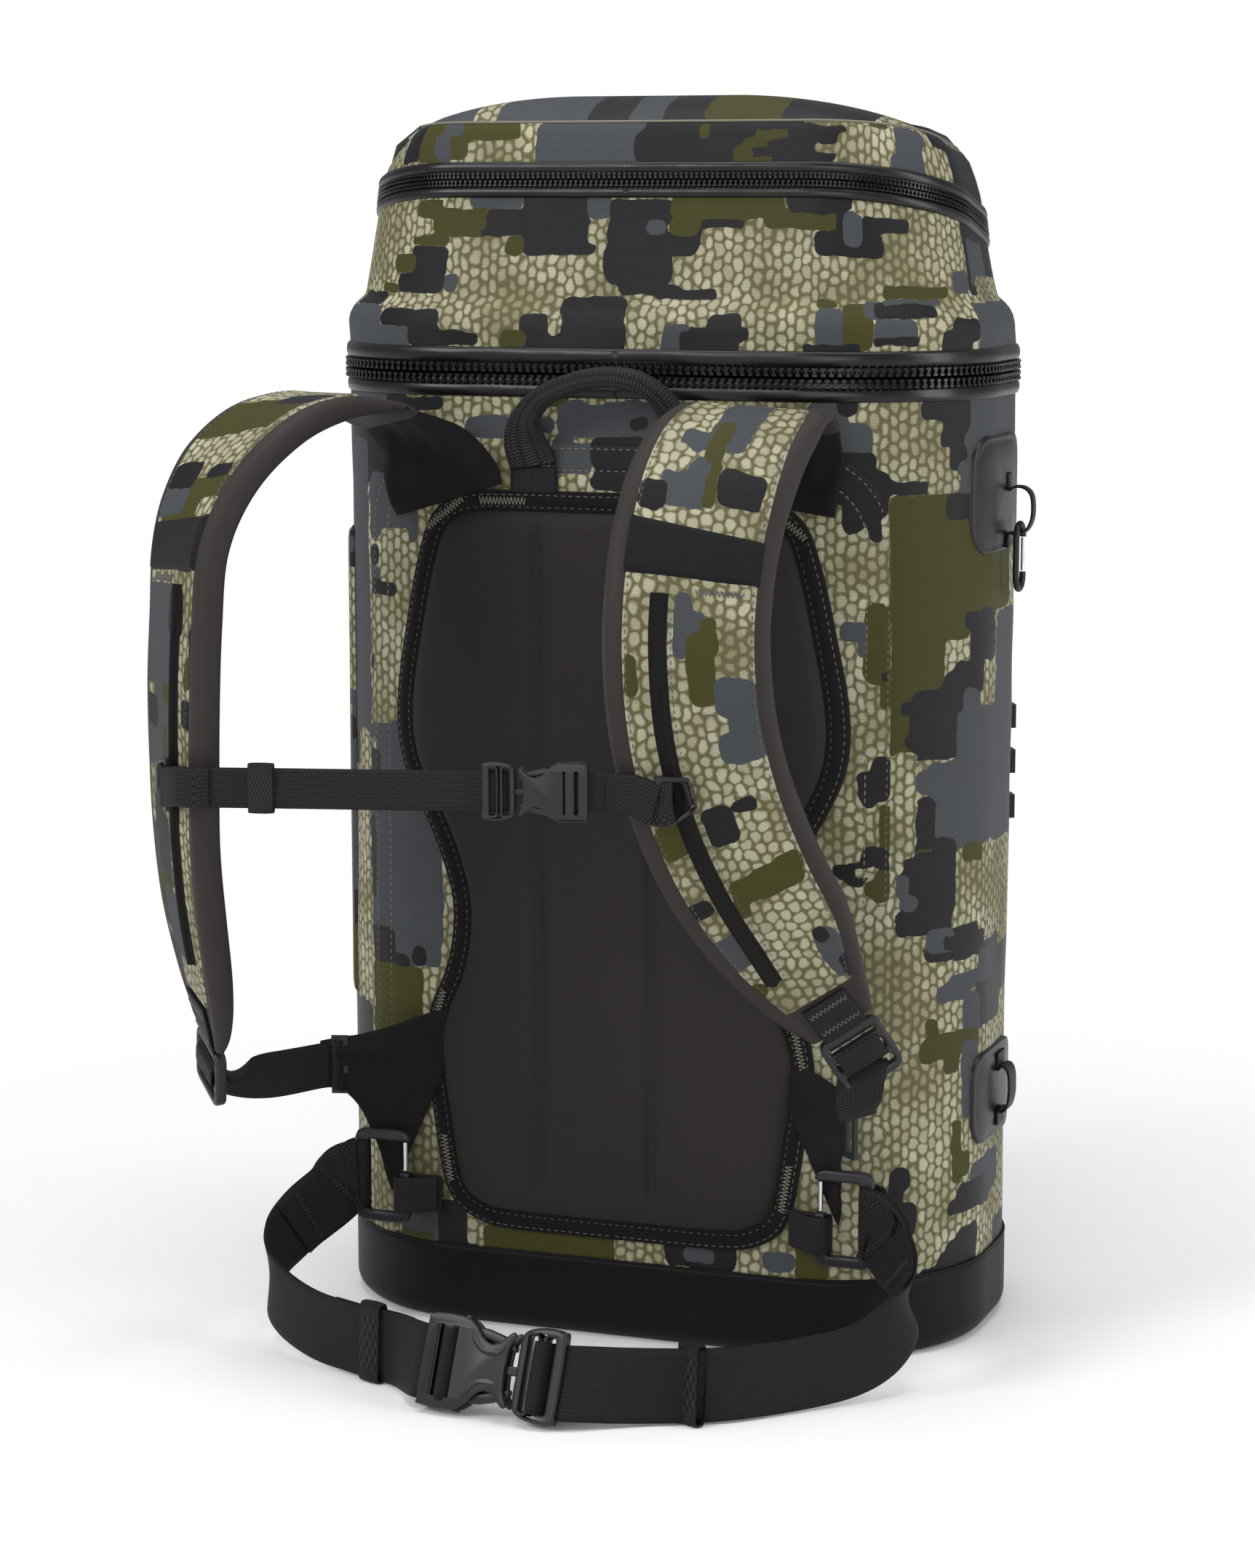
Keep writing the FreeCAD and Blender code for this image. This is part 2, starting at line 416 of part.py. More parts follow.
# sternum buckle: male on the left, female on the right
QL, WL, NL = clips["left"]; QR, WR, NR = clips["right"]
lw = QL + NL * 11.0
rw = QR + NR * 11.0
iL = at(FL, SZ)
PL, TL, WL_, NL_, wl, tl = FL[iL]
edge = PL + WL_ * (wl / 2 + 3.0) + NL_ * (tl / 2 + 4.0)
bc = V(14.0, 0, SZ + 1)
tt = (bc.x - edge.x) / (rw.x - edge.x)
bc = V(bc.x, edge.y + (rw.y - edge.y) * tt, SZ + 1)
ub = V(rw.x - edge.x, rw.y - edge.y, 0); ub.normalize()
SB = (bc.x, bc.y, bc.z)
fem, male, pa, pb = buckle(52.0, 29.0, 7.5, 20.0)
# local +x of the buckle (male end) points to the left here
ul = (-ub.x, -ub.y, 0)
vv = (0, 0, 1)
fsh = place(fem, SB, ul, vv)
save("sternum_buckle_female", fsh)
save("sternum_buckle_male", place(male, SB, ul, vv))
save("sternum_prong_upper", place(pa, SB, ul, vv))
save("sternum_prong_lower", place(pb, SB, ul, vv))
print("STERNUM", SB, (ul[0], ul[1]), "edge", tuple(edge), "lw", tuple(lw), "rw", tuple(rw))
m_end = bc - ub * (52.0 * 0.335)
f_end = bc + ub * (52.0 * 0.395)
Z = (0, 0, 1)
sw_l = ribbon([((lw.x, lw.y, SZ), Z, STERNUM_W), ((edge.x - 7, edge.y + 2.6, SZ), Z, STERNUM_W), ((edge.x + 2, edge.y - 0.6, SZ), Z, STERNUM_W),
               ((edge.x + 16, edge.y - 0.3 + 16 * ub.y / ub.x, SZ + 0.2), Z, STERNUM_W), ((m_end.x, m_end.y, SZ + 1), Z, STERNUM_W)], 1.8)
mm = place(male, SB, ul, vv)
save("sternum_webbing_left", sw_l.cut(mm).cut(CL[0]))
sw_r = ribbon([((f_end.x, f_end.y, SZ + 1), Z, STERNUM_W), ((rw.x - 8, rw.y - 0.5, SZ + 0.5), Z, STERNUM_W), ((rw.x, rw.y, SZ), Z, STERNUM_W)], 1.8)
save("sternum_webbing_right", sw_r.cut(fsh).cut(CL[1]))
kx = -118.0
ky = edge.y + (kx - edge.x) * ub.y / ub.x
kp = place(box(-6, 6, -12.2, 12.2, -2.6, 2.6).cut(box(-7, 7, -10.3, 10.3, -1.25, 1.25)), (kx, ky - 0.3, SZ + 0.3), (ub.x, ub.y, 0), Z)
save("sternum_keeper", kp)

# adjusters at the strap ends
def ladder(w, h, t, web):
    b = box(-w / 2, w / 2, -h / 2, h / 2, -t / 2, t / 2)
    b = b.makeFillet(t * 0.35, [e for e in b.Edges if e.BoundBox.ZLength < 0.01])
    for y0, y1 in ((-h * 0.36, -h * 0.20), (-h * 0.06, h * 0.10), (h * 0.24, h * 0.36)):
        b = b.cut(box(-web / 2 - 0.8, web / 2 + 0.8, y0, y1, -t * 2, t * 2))
    return b
adj = ladder(34, 34, 6.0, 25)
AD = {}
for nm, fr in (("left", FL), ("right", FR)):
    P, T, W, N, w, t = fr[-1]
    c = P + T * 19.5
    AD[nm] = place(adj, (c.x, c.y, c.z), (W.x, W.y, W.z), (-T.x, -T.y, -T.z))
    save("adjuster_" + nm, AD[nm])
    print("ADJ", nm, tuple(c), "W", tuple(W), "T", tuple(T), "N", tuple(N))

# ================= wings, rings and lower webbing =================
dring = box(-4.5, 4.5, -16, 16, -1.2, 1.2).cut(box(-2.1, 2.1, -13.4, 13.4, -3, 3))
RL, RR = (-156.0, -113.0, 142.0), (137.5, -123.4, 134.0)
rings = [place(dring, RL, (-1, -0.3, 0), Z), place(dring, RR, (0.8, -0.6, 0), Z)]
save("wing_rings", rings)
for w_ in (ribbon([((-113, -103.2, 130), Z, 72), ((-132, -106.4, 138), Z, 40), ((-150, -111, 142), Z, 22)], 2.2),
           ribbon([((113, -103.2, 130), Z, 72), ((123, -109, 133), Z, 42), ((131.5, -118.5, 134.5), Z, 22)], 2.2)):
    save("wings", w_.cut(box(-160, -108, -120, -104, 50, 108.6)).cut(box(108, 160, -120, -104, 50, 108.6)).cut(solid_body).cut(bind_block).cut(rings[0]).cut(rings[1]))
cL = FL[-1][0] + FL[-1][1] * 21.0 - FL[-1][3] * 4.4
cR = FR[-1][0] + FR[-1][1] * 24.0 - FR[-1][3] * 4.4
wL = FL[-1][2]; wR = FR[-1][2]
aw = [ribbon([((cL.x, cL.y, cL.z), (wL.x, wL.y, wL.z), ADJ_W), ((-186, -180, 148), (0.5, -0.3, 0.8), ADJ_W), ((-176, -155, 144), Z, ADJ_W), ((-160.5, -115.8, 142), Z, ADJ_W)], 1.6),
      ribbon([((cR.x, cR.y, cR.z), (wR.x, wR.y, wR.z), ADJ_W), ((143.2, -129.8, 153), (0.75, 0.3, 0.5), 24), ((142.0, -127.2, 141), (0.6, 0.3, 0.8), 22)], 1.6)]
for a_ in aw:
    save("adjuster_webbing", a_.cut(AD["left"]).cut(AD["right"]).cut(rings[0]).cut(rings[1]))

# ================= hip belt =================
def hook(s):
    """Frame with a closed bar for the belt and a bar with a gated mouth for the anchor loop."""
    x0, x1 = sorted((s * 147, s * 115))
    o = box(x0, x1, -115, -109.5, 56, 108)
    o = o.makeFillet(5.0, [e for e in o.Edges if e.BoundBox.YLength > 5.4])
    a0, a1 = sorted((s * 141, s * 121))
    o = o.cut(box(a0, a1, -120, -105, 62, 102))
    g0, g1 = sorted((s * 122, s * 112))
    return o.cut(box(g0, g1, -120, -105, 85, 102))
for nm, s in (("left", -1), ("right", 1)):
    save("hip_hooks", hook(s))
    save("hip_gate_" + nm, Part.makeCylinder(1.3, 15.7, V(s * 118, -112.25, 85.7), V(0, 0, 1)))
    # anchor webbing: from the pad's edge round the hook's lower half bar
    a0, a1 = sorted((s * 104.5, s * 124.0))
    lp = box(a0, a1, -118.2, -106.3, 63.5, 82.5)
    b0, b1 = sorted((s * 114.5, s * 121.5))
    lp = lp.cut(box(b0, b1, -115.6, -108.9, 60, 90))
    c0, c1 = sorted((s * 100.0, s * 112.0))
    lp = lp.cut(box(c0, c1, -120, -109.4, 60, 90))
    save("hip_anchors", lp)

LB = [((-149.5, -113.5, 81), Z, 38), ((-158, -124, 71), Z, 38), ((-169, -139, 60), Z, 38), ((-175, -154, 48), Z, 38), ((-173, -168, 36), Z, 38),
      ((-161, -180, 27), Z, 38), ((-136, -195, 21.5), Z, 38), ((-108, -207, 20.3), Z, 38), ((-80, -217, 20.3), (0, 0.1, 1), 38)]
RB = [((149.5, -113.5, 81), Z, 38), ((159, -121, 70), Z, 38), ((168, -128, 58), Z, 38), ((171, -136, 45), Z, 38), ((166, -147, 33), Z, 38),
      ((154, -161, 24), Z, 38), ((134, -181, 20.5), Z, 38), ((101, -213, 20.3), Z, 38), ((66, -229, 20.3), (0, 0.1, 1), 38)]
HB = (-14.0, -242.0, 24.6)
hu = V(0.99, -0.12, 0); hu.normalize()
hv = V(0, 0.36, 0.93)
HL = 78.0
fem, male, pa, pb = buckle(HL, 48.0, 10.0, 38.0)
hf_ = place(fem, HB, (hu.x, hu.y, hu.z), (hv.x, hv.y, hv.z))
hm_ = place(male, HB, (hu.x, hu.y, hu.z), (hv.x, hv.y, hv.z))
save("hip_buckle_female", hf_)
save("hip_buckle_male", hm_)
save("hip_prong_upper", place(pa, HB, (hu.x, hu.y, hu.z), (hv.x, hv.y, hv.z)))
save("hip_prong_lower", place(pb, HB, (hu.x, hu.y, hu.z), (hv.x, hv.y, hv.z)))
hv2 = hv - hu * hv.dot(hu); hv2.normalize()
e1 = V(*HB) - hu * (HL * 0.395)
e2 = V(*HB) + hu * (HL * 0.40)
q1 = V(*HB) - hu * (HL * 0.56); q2 = V(*HB) + hu * (HL * 0.56)
dn = hv2 * -1.5
lb = ribbon(LB + [((q1.x + dn.x, q1.y + dn.y + 1.2, q1.z + dn.z), (hv2.x, hv2.y, hv2.z), 38), ((e1.x + dn.x, e1.y + dn.y, e1.z + dn.z), (hv2.x, hv2.y, hv2.z), 38)], BELT_T)
rb = ribbon(RB + [((q2.x + dn.x, q2.y + dn.y + 1.2, q2.z + dn.z), (hv2.x, hv2.y, hv2.z), 38), ((e2.x + dn.x, e2.y + dn.y, e2.z + dn.z), (hv2.x, hv2.y, hv2.z), 38)], BELT_T)
def bar_loop(s):
    x0, x1 = sorted((s * 149.8, s * 138.2))
    o = box(x0, x1, -118.0, -106.5, 63, 101)
    i0, i1 = sorted((s * 147.3, s * 140.7))
    return o.cut(box(i0, i1, -115.4, -109.1, 60, 105))
lb = lb.cut(hf_).cut(box(-147.3, -100, -125, -100, 50, 110)).fuse(bar_loop(-1)).removeSplitter()
rb = rb.cut(hm_).cut(box(100, 147.3, -125, -100, 50, 110)).fuse(bar_loop(1)).removeSplitter()
def keeper(o, u):
    k = box(-6.5, 6.5, -20.8, 20.8, -3.2, 3.2).cut(box(-8, 8, -19.3, 19.3, -1.7, 1.7))
    return place(k, o, u, (0, 0.08, 1))
kl, kr = keeper((-94, -212, 21.2), (28, -10, 0)), keeper((84, -220.8, 21.2), (35, -16, 0))
save("hip_keeper_left", kl)
save("hip_keeper_right", kr)
save("hip_belt_left", lb.cut(kl))
save("hip_belt_right", rb.cut(kr))

# ================= gear clip on the side loop =================
GC = (189.8, 4.0, 439.5)
CW, CH, CRAD = 18.0, 38.0, 1.7
def bar(a, b, r):
    d = b - a
    return Part.makeCylinder(r, d.Length, a, d)
def arc_bar(cz, sgn, R, r):
    t = Part.makeTorus(R, r, V(0, 0, cz), V(0, 1, 0))
    return t.common(box(-20, 20, -5, 5, min(cz, cz + sgn * 20), max(cz, cz + sgn * 20)))
a_ = CW / 2 - CRAD
top, bot = -CRAD - a_, -(CH - CRAD - a_)
ck = arc_bar(top, 1, a_, CRAD).fuse(arc_bar(bot, -1, a_, CRAD)).fuse(bar(V(-a_, 0, bot), V(-a_, 0, top), CRAD))
ck = ck.fuse(bar(V(a_, 0, bot), V(a_, 0, bot + 1.2), CRAD)).removeSplitter()
# local X turns to Y
ck.rotate(V(0, 0, 0), V(0, 0, 1), 90)
ck.translate(V(*GC))
save("gear_clip", ck)
gt = bar(V(a_, 0, bot + 1.9), V(a_, 0, top - 0.5), 1.1)
gt.rotate(V(0, 0, 0), V(0, 0, 1), 90)
gt.translate(V(*GC))
save("gear_gate", gt)
print("GEO", repr({"SB": SB, "UL": ul, "HB": HB, "HU": (hu.x, hu.y, hu.z), "HV": (hv2.x, hv2.y, hv2.z), "SO": so, "ER": er, "ET": et, "CO": co,
      "GATE": (GC[0], GC[1] + a_, GC[2] + bot + 1.9 + 0.9), "ADJ": dict((k, [tuple(f[-1][0] + f[-1][1] * 1.6), tuple(f[-1][1]), tuple(f[-1][2]), tuple(f[-1][3])]) for k, f in (("left", FL), ("right", FR))),
      "EDGE": tuple(edge), "LW": tuple(lw), "RW": tuple(rw), "ME": tuple(m_end), "FE": tuple(f_end), "E1": tuple(e1), "E2": tuple(e2)}))

export_all()
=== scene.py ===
import bpy, math, random
import numpy as np
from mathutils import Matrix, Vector


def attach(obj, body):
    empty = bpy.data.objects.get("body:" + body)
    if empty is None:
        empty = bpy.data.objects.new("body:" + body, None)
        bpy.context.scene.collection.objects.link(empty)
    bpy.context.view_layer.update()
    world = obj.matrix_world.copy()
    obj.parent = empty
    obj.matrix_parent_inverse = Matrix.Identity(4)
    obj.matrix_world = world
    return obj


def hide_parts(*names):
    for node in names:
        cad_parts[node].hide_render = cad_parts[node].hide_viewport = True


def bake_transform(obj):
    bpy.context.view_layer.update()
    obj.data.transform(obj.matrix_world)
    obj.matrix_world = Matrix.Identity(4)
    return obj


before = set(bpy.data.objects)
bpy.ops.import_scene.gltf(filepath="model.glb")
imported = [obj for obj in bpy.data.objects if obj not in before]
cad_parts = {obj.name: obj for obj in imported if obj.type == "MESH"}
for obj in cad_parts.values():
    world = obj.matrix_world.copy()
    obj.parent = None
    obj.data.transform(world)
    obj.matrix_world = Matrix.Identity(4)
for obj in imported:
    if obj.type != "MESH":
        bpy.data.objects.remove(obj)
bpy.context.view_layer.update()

MM = 0.001
scene = bpy.context.scene

# ------------------------------------------------------------------ camera
AZ, EL, DIST, FPX = math.radians(20.0), math.radians(9.0), 2.060, 5120.0
BACK = Vector((math.sin(AZ) * math.cos(EL), -math.cos(AZ) * math.cos(EL), math.sin(EL)))
RIGHT = Vector((math.cos(AZ), math.sin(AZ), 0))
TGT = Vector((-0.0285 * RIGHT.x, -0.0285 * RIGHT.y, 0.2883))
cam_d = bpy.data.cameras.new("cam")
cam = bpy.data.objects.new("cam", cam_d)
scene.collection.objects.link(cam)
cam.location = TGT + BACK * DIST
cam.rotation_euler = (-BACK).to_track_quat('-Z', 'Y').to_euler()
cam_d.lens = FPX / 2156 * 36.0
cam_d.sensor_width = 36.0
cam_d.clip_start = 0.05
cam_d.clip_end = 30
scene.camera = cam
scene.view_settings.view_transform = 'Standard'
scene.view_settings.look = 'None'
scene.view_settings.exposure = 0.0

# ------------------------------------------------------------------ stage
w = bpy.data.worlds.new("w"); scene.world = w
w.use_nodes = True
wn = w.node_tree.nodes; wl = w.node_tree.links
wn.clear()
wo = wn.new("ShaderNodeOutputWorld"); wm = wn.new("ShaderNodeMixShader"); lp = wn.new("ShaderNodeLightPath")
b1 = wn.new("ShaderNodeBackground"); b2 = wn.new("ShaderNodeBackground")
b1.inputs[0].default_value = (0.90, 0.93, 1.0, 1); b1.inputs[1].default_value = 0.36
b2.inputs[0].default_value = (1, 1, 1, 1); b2.inputs[1].default_value = 1.0
wl.new(lp.outputs["Is Camera Ray"], wm.inputs[0]); wl.new(b1.outputs[0], wm.inputs[1]); wl.new(b2.outputs[0], wm.inputs[2])
wl.new(wm.outputs[0], wo.inputs[0])

def area(name, loc, target, size, size_y, energy, color=(1, 1, 1)):
    d = bpy.data.lights.new(name, 'AREA'); d.shape = 'RECTANGLE'; d.size = size; d.size_y = size_y
    d.energy = energy; d.color = color
    o = bpy.data.objects.new(name, d); scene.collection.objects.link(o)
    o.location = loc
    o.rotation_euler = (Vector(target) - Vector(loc)).to_track_quat('-Z', 'Y').to_euler()
    return o
area("key", (-1.3, -1.9, 1.7), (0, -0.05, 0.33), 1.1, 1.1, 34)
area("front", (0.5, -2.6, 0.9), (0, 0, 0.33), 1.6, 1.2, 20)
area("rim_right", (1.7, -0.1, 0.8), (0.1, 0, 0.35), 0.5, 1.8, 16)
area("top", (0.0, -0.1, 2.1), (0, 0, 0.4), 1.6, 1.2, 22)

def new_mat(name):
    m = bpy.data.materials.new(name); m.use_nodes = True
    nt = m.node_tree; nt.nodes.clear()
    out = nt.nodes.new("ShaderNodeOutputMaterial"); bs = nt.nodes.new("ShaderNodeBsdfPrincipled")
    nt.links.new(bs.outputs[0], out.inputs[0])
    return m, nt, bs

class G:
    """Small helper for shader graphs: every call makes a node and returns its output socket."""
    def __init__(s, nt): s.nt = nt
    def link(s, a, b): s.nt.links.new(a, b)
    def _set(s, sock, v):
        if hasattr(v, "is_linked"): s.link(v, sock)
        else: sock.default_value = v
    def math(s, op, a, b=None, c=None, clamp=False):
        n = s.nt.nodes.new("ShaderNodeMath"); n.operation = op; n.use_clamp = clamp
        s._set(n.inputs[0], a)
        if b is not None: s._set(n.inputs[1], b)
        if c is not None: s._set(n.inputs[2], c)
        return n.outputs[0]
    def smooth(s, v, lo, hi, o0=0.0, o1=1.0):
        n = s.nt.nodes.new("ShaderNodeMapRange"); n.interpolation_type = 'SMOOTHSTEP'; n.clamp = True
        s._set(n.inputs[0], v); n.inputs[1].default_value = lo; n.inputs[2].default_value = hi
        n.inputs[3].default_value = o0; n.inputs[4].default_value = o1
        return n.outputs[0]
    def attr(s, name):
        n = s.nt.nodes.new("ShaderNodeAttribute"); n.attribute_name = name
        return n
    def uv(s, name="uv"):
        n = s.nt.nodes.new("ShaderNodeUVMap"); n.uv_map = name
        sp = s.nt.nodes.new("ShaderNodeSeparateXYZ"); s.link(n.outputs[0], sp.inputs[0])
        return n.outputs[0], sp.outputs[0], sp.outputs[1]
    def obj(s):
        n = s.nt.nodes.new("ShaderNodeTexCoord"); return n.outputs["Object"]
    def comb(s, x, y, z=0.0):
        n = s.nt.nodes.new("ShaderNodeCombineXYZ")
        s._set(n.inputs[0], x); s._set(n.inputs[1], y); s._set(n.inputs[2], z)
        return n.outputs[0]
    def noise(s, vec, scale, detail=2.0, rough=0.5, out="Fac"):
        n = s.nt.nodes.new("ShaderNodeTexNoise"); s.link(vec, n.inputs["Vector"])
        n.inputs["Scale"].default_value = scale; n.inputs["Detail"].default_value = detail; n.inputs["Roughness"].default_value = rough
        return n.outputs[out]
    def voro(s, vec, scale, feature='F1', out="Distance", rnd=1.0):
        n = s.nt.nodes.new("ShaderNodeTexVoronoi"); n.feature = feature; s.link(vec, n.inputs["Vector"])
        n.inputs["Scale"].default_value = scale; n.inputs["Randomness"].default_value = rnd
        return n.outputs[out]
    def mix(s, fac, a, b):
        n = s.nt.nodes.new("ShaderNodeMix"); n.data_type = 'RGBA'
        s._set(n.inputs[0], fac)
        for sock, v in ((n.inputs[6], a), (n.inputs[7], b)):
            if hasattr(v, "is_linked"): s.link(v, sock)
            else: sock.default_value = (v[0], v[1], v[2], 1)
        return n.outputs[2]
    def mixf(s, fac, a, b):
        n = s.nt.nodes.new("ShaderNodeMix"); n.data_type = 'FLOAT'
        s._set(n.inputs[0], fac); s._set(n.inputs[2], a); s._set(n.inputs[3], b)
        return n.outputs[0]
    def bump(s, h, dist, strength=1.0, normal=None):
        n = s.nt.nodes.new("ShaderNodeBump"); n.inputs["Distance"].default_value = dist; n.inputs["Strength"].default_value = strength
        s.link(h, n.inputs["Height"])
        if normal is not None: s.link(normal, n.inputs["Normal"])
        return n.outputs[0]

def srgb(*c):
    return tuple(((v / 255.0) / 12.92 if v / 255.0 <= 0.04045 else ((v / 255.0 + 0.055) / 1.055) ** 2.4) for v in c)

# floor: pale sheet that turns into the white sweep away from the pack
fm, nt, bs = new_mat("floor"); g = G(nt)
bs.inputs["Base Color"].default_value = (0.93, 0.93, 0.93, 1); bs.inputs["Roughness"].default_value = 0.75
em = nt.nodes.new("ShaderNodeEmission"); em.inputs[0].default_value = (1, 1, 1, 1); em.inputs[1].default_value = 1.0
mx = nt.nodes.new("ShaderNodeMixShader")
ln = nt.nodes.new("ShaderNodeVectorMath"); ln.operation = 'LENGTH'; nt.links.new(g.obj(), ln.inputs[0])
fade = g.smooth(ln.outputs["Value"], 0.28, 0.75)
nt.links.new(fade, mx.inputs[0]); nt.links.new(bs.outputs[0], mx.inputs[1]); nt.links.new(em.outputs[0], mx.inputs[2])
nt.links.new(mx.outputs[0], nt.nodes["Material Output"].inputs[0])
bpy.ops.mesh.primitive_plane_add(size=14, location=(0, 0, -0.0002))
floor = bpy.context.object; floor.name = "floor"; floor.data.materials.append(fm)

# ------------------------------------------------------------------ mesh helpers
def mesh_obj(name, verts, faces, mat, body, slot, uv=None, attrs=None, smooth=True, replaces=()):
    """verts in mm. uv: per-vertex (n,2) in mm. attrs: name -> per-vertex floats."""
    me = bpy.data.meshes.new(name)
    v = np.asarray(verts, float) * MM
    me.from_pydata(v.tolist(), [], [list(map(int, f)) for f in faces])
    me.update()
    if uv is not None:
        lay = me.uv_layers.new(name="uv")
        li = np.zeros(len(me.loops), np.int32); me.loops.foreach_get("vertex_index", li)
        lay.data.foreach_set("uv", (np.asarray(uv, float)[li] * MM).astype(np.float32).ravel())
    for k, a in (attrs or {}).items():
        at = me.attributes.new(k, 'FLOAT', 'POINT'); at.data.foreach_set("value", np.asarray(a, np.float32))
    if smooth: me.shade_smooth()
    me.materials.append(mat)
    o = bpy.data.objects.new(name, me); scene.collection.objects.link(o)
    if body is not None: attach(o, body)
    if replaces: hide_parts(*replaces)
    return o

def grid_faces(nu, nv, close_u=False, close_v=False, off=0, flip=False):
    f = []
    for i in range(nu if close_u else nu - 1):
        for j in range(nv if close_v else nv - 1):
            a, b = i * nv + j, ((i + 1) % nu) * nv + j
            c, d = ((i + 1) % nu) * nv + (j + 1) % nv, i * nv + (j + 1) % nv
            q = (a, b, c, d) if not flip else (d, c, b, a)
            f.append(tuple(x + off for x in q))
    return f

class Geo:
    """Collects pieces into one mesh."""
    def __init__(s): s.v = []; s.f = []; s.uv = []; s.n = 0; s.at = {}
    def add(s, v, f, uv=None, **at):
        v = np.asarray(v, float).reshape(-1, 3)
        s.v.append(v); s.f += [tuple(i + s.n for i in q) for q in f]
        s.uv.append(np.zeros((len(v), 2)) if uv is None else np.asarray(uv, float).reshape(-1, 2))
        for k, a in at.items(): s.at.setdefault(k, []).append(np.asarray(a, float).ravel())
        s.n += len(v)
    def obj(s, name, mat, body, slot, **k):
        return mesh_obj(name, np.vstack(s.v), s.f, mat, body, slot, np.vstack(s.uv), {q: np.concatenate(a) for q, a in s.at.items()}, **k)

def unit(a): return a / np.maximum(np.linalg.norm(a, axis=-1, keepdims=True), 1e-12)

# ------------------------------------------------------------------ the pack's footprint
BW, BD, BR = 362.0, 200.0, 86.0
HX, HY = BW / 2 - BR, BD / 2 - BR            # corner centres: 95, 14
QL = math.pi / 2 * BR
PER = 4 * HX + 4 * HY + 4 * QL
def foot(s):
    """Skeleton point and outward normal at arc length s (mm) from the middle of the harness side, towards +X."""
    s = np.mod(np.asarray(s, float), PER)
    seg = np.cumsum([HX, QL, 2 * HY, QL, 2 * HX, QL, 2 * HY, QL, HX])
    C = np.zeros(s.shape + (2,)); A = np.zeros(s.shape)
    st = np.concatenate([[0], seg[:-1]])
    for k in range(9):
        m = (s >= st[k] - 1e-9) & (s <= seg[k] + 1e-9)
        d = s - st[k]
        if k == 0: cx, cy, a = d, -HY, -90 + 0 * d
        elif k == 1: cx, cy, a = HX, -HY, -90 + 90 * d / QL
        elif k == 2: cx, cy, a = HX, -HY + d, 0 * d
        elif k == 3: cx, cy, a = HX, HY, 90 * d / QL
        elif k == 4: cx, cy, a = HX - d, HY, 90 + 0 * d
        elif k == 5: cx, cy, a = -HX, HY, 90 + 90 * d / QL
        elif k == 6: cx, cy, a = -HX, HY - d, 180 + 0 * d
        elif k == 7: cx, cy, a = -HX, -HY, 180 + 90 * d / QL
        else: cx, cy, a = -HX + d, -HY, 270 + 0 * d
        cx = cx + 0 * d; cy = cy + 0 * d
        C[m, 0] = cx[m]; C[m, 1] = cy[m]; A[m] = a[m]
    A = np.radians(A)
    return C, np.stack([np.cos(A), np.sin(A)], -1)
def s_of(x, y):
    """Arc length for a point near the surface."""
    ss = np.linspace(-PER / 2, PER / 2, 4000)
    C, n = foot(ss); P = C + n * BR
    return ss[np.argmin((P[:, 0] - x) ** 2 + (P[:, 1] - y) ** 2)]

def vnoise(u, v, seed=0):
    """Smooth value noise in 2D, about -1..1."""
    r = np.random.RandomState(seed).rand(64, 64)
    iu, iv = np.floor(u).astype(int), np.floor(v).astype(int)
    fu, fv = u - iu, v - iv
    fu = fu * fu * (3 - 2 * fu); fv = fv * fv * (3 - 2 * fv)
    g_ = lambda a, b: r[a % 64, b % 64]
    return ((g_(iu, iv) * (1 - fu) + g_(iu + 1, iv) * fu) * (1 - fv) + (g_(iu, iv + 1) * (1 - fu) + g_(iu + 1, iv + 1) * fu) * fv) * 2 - 1

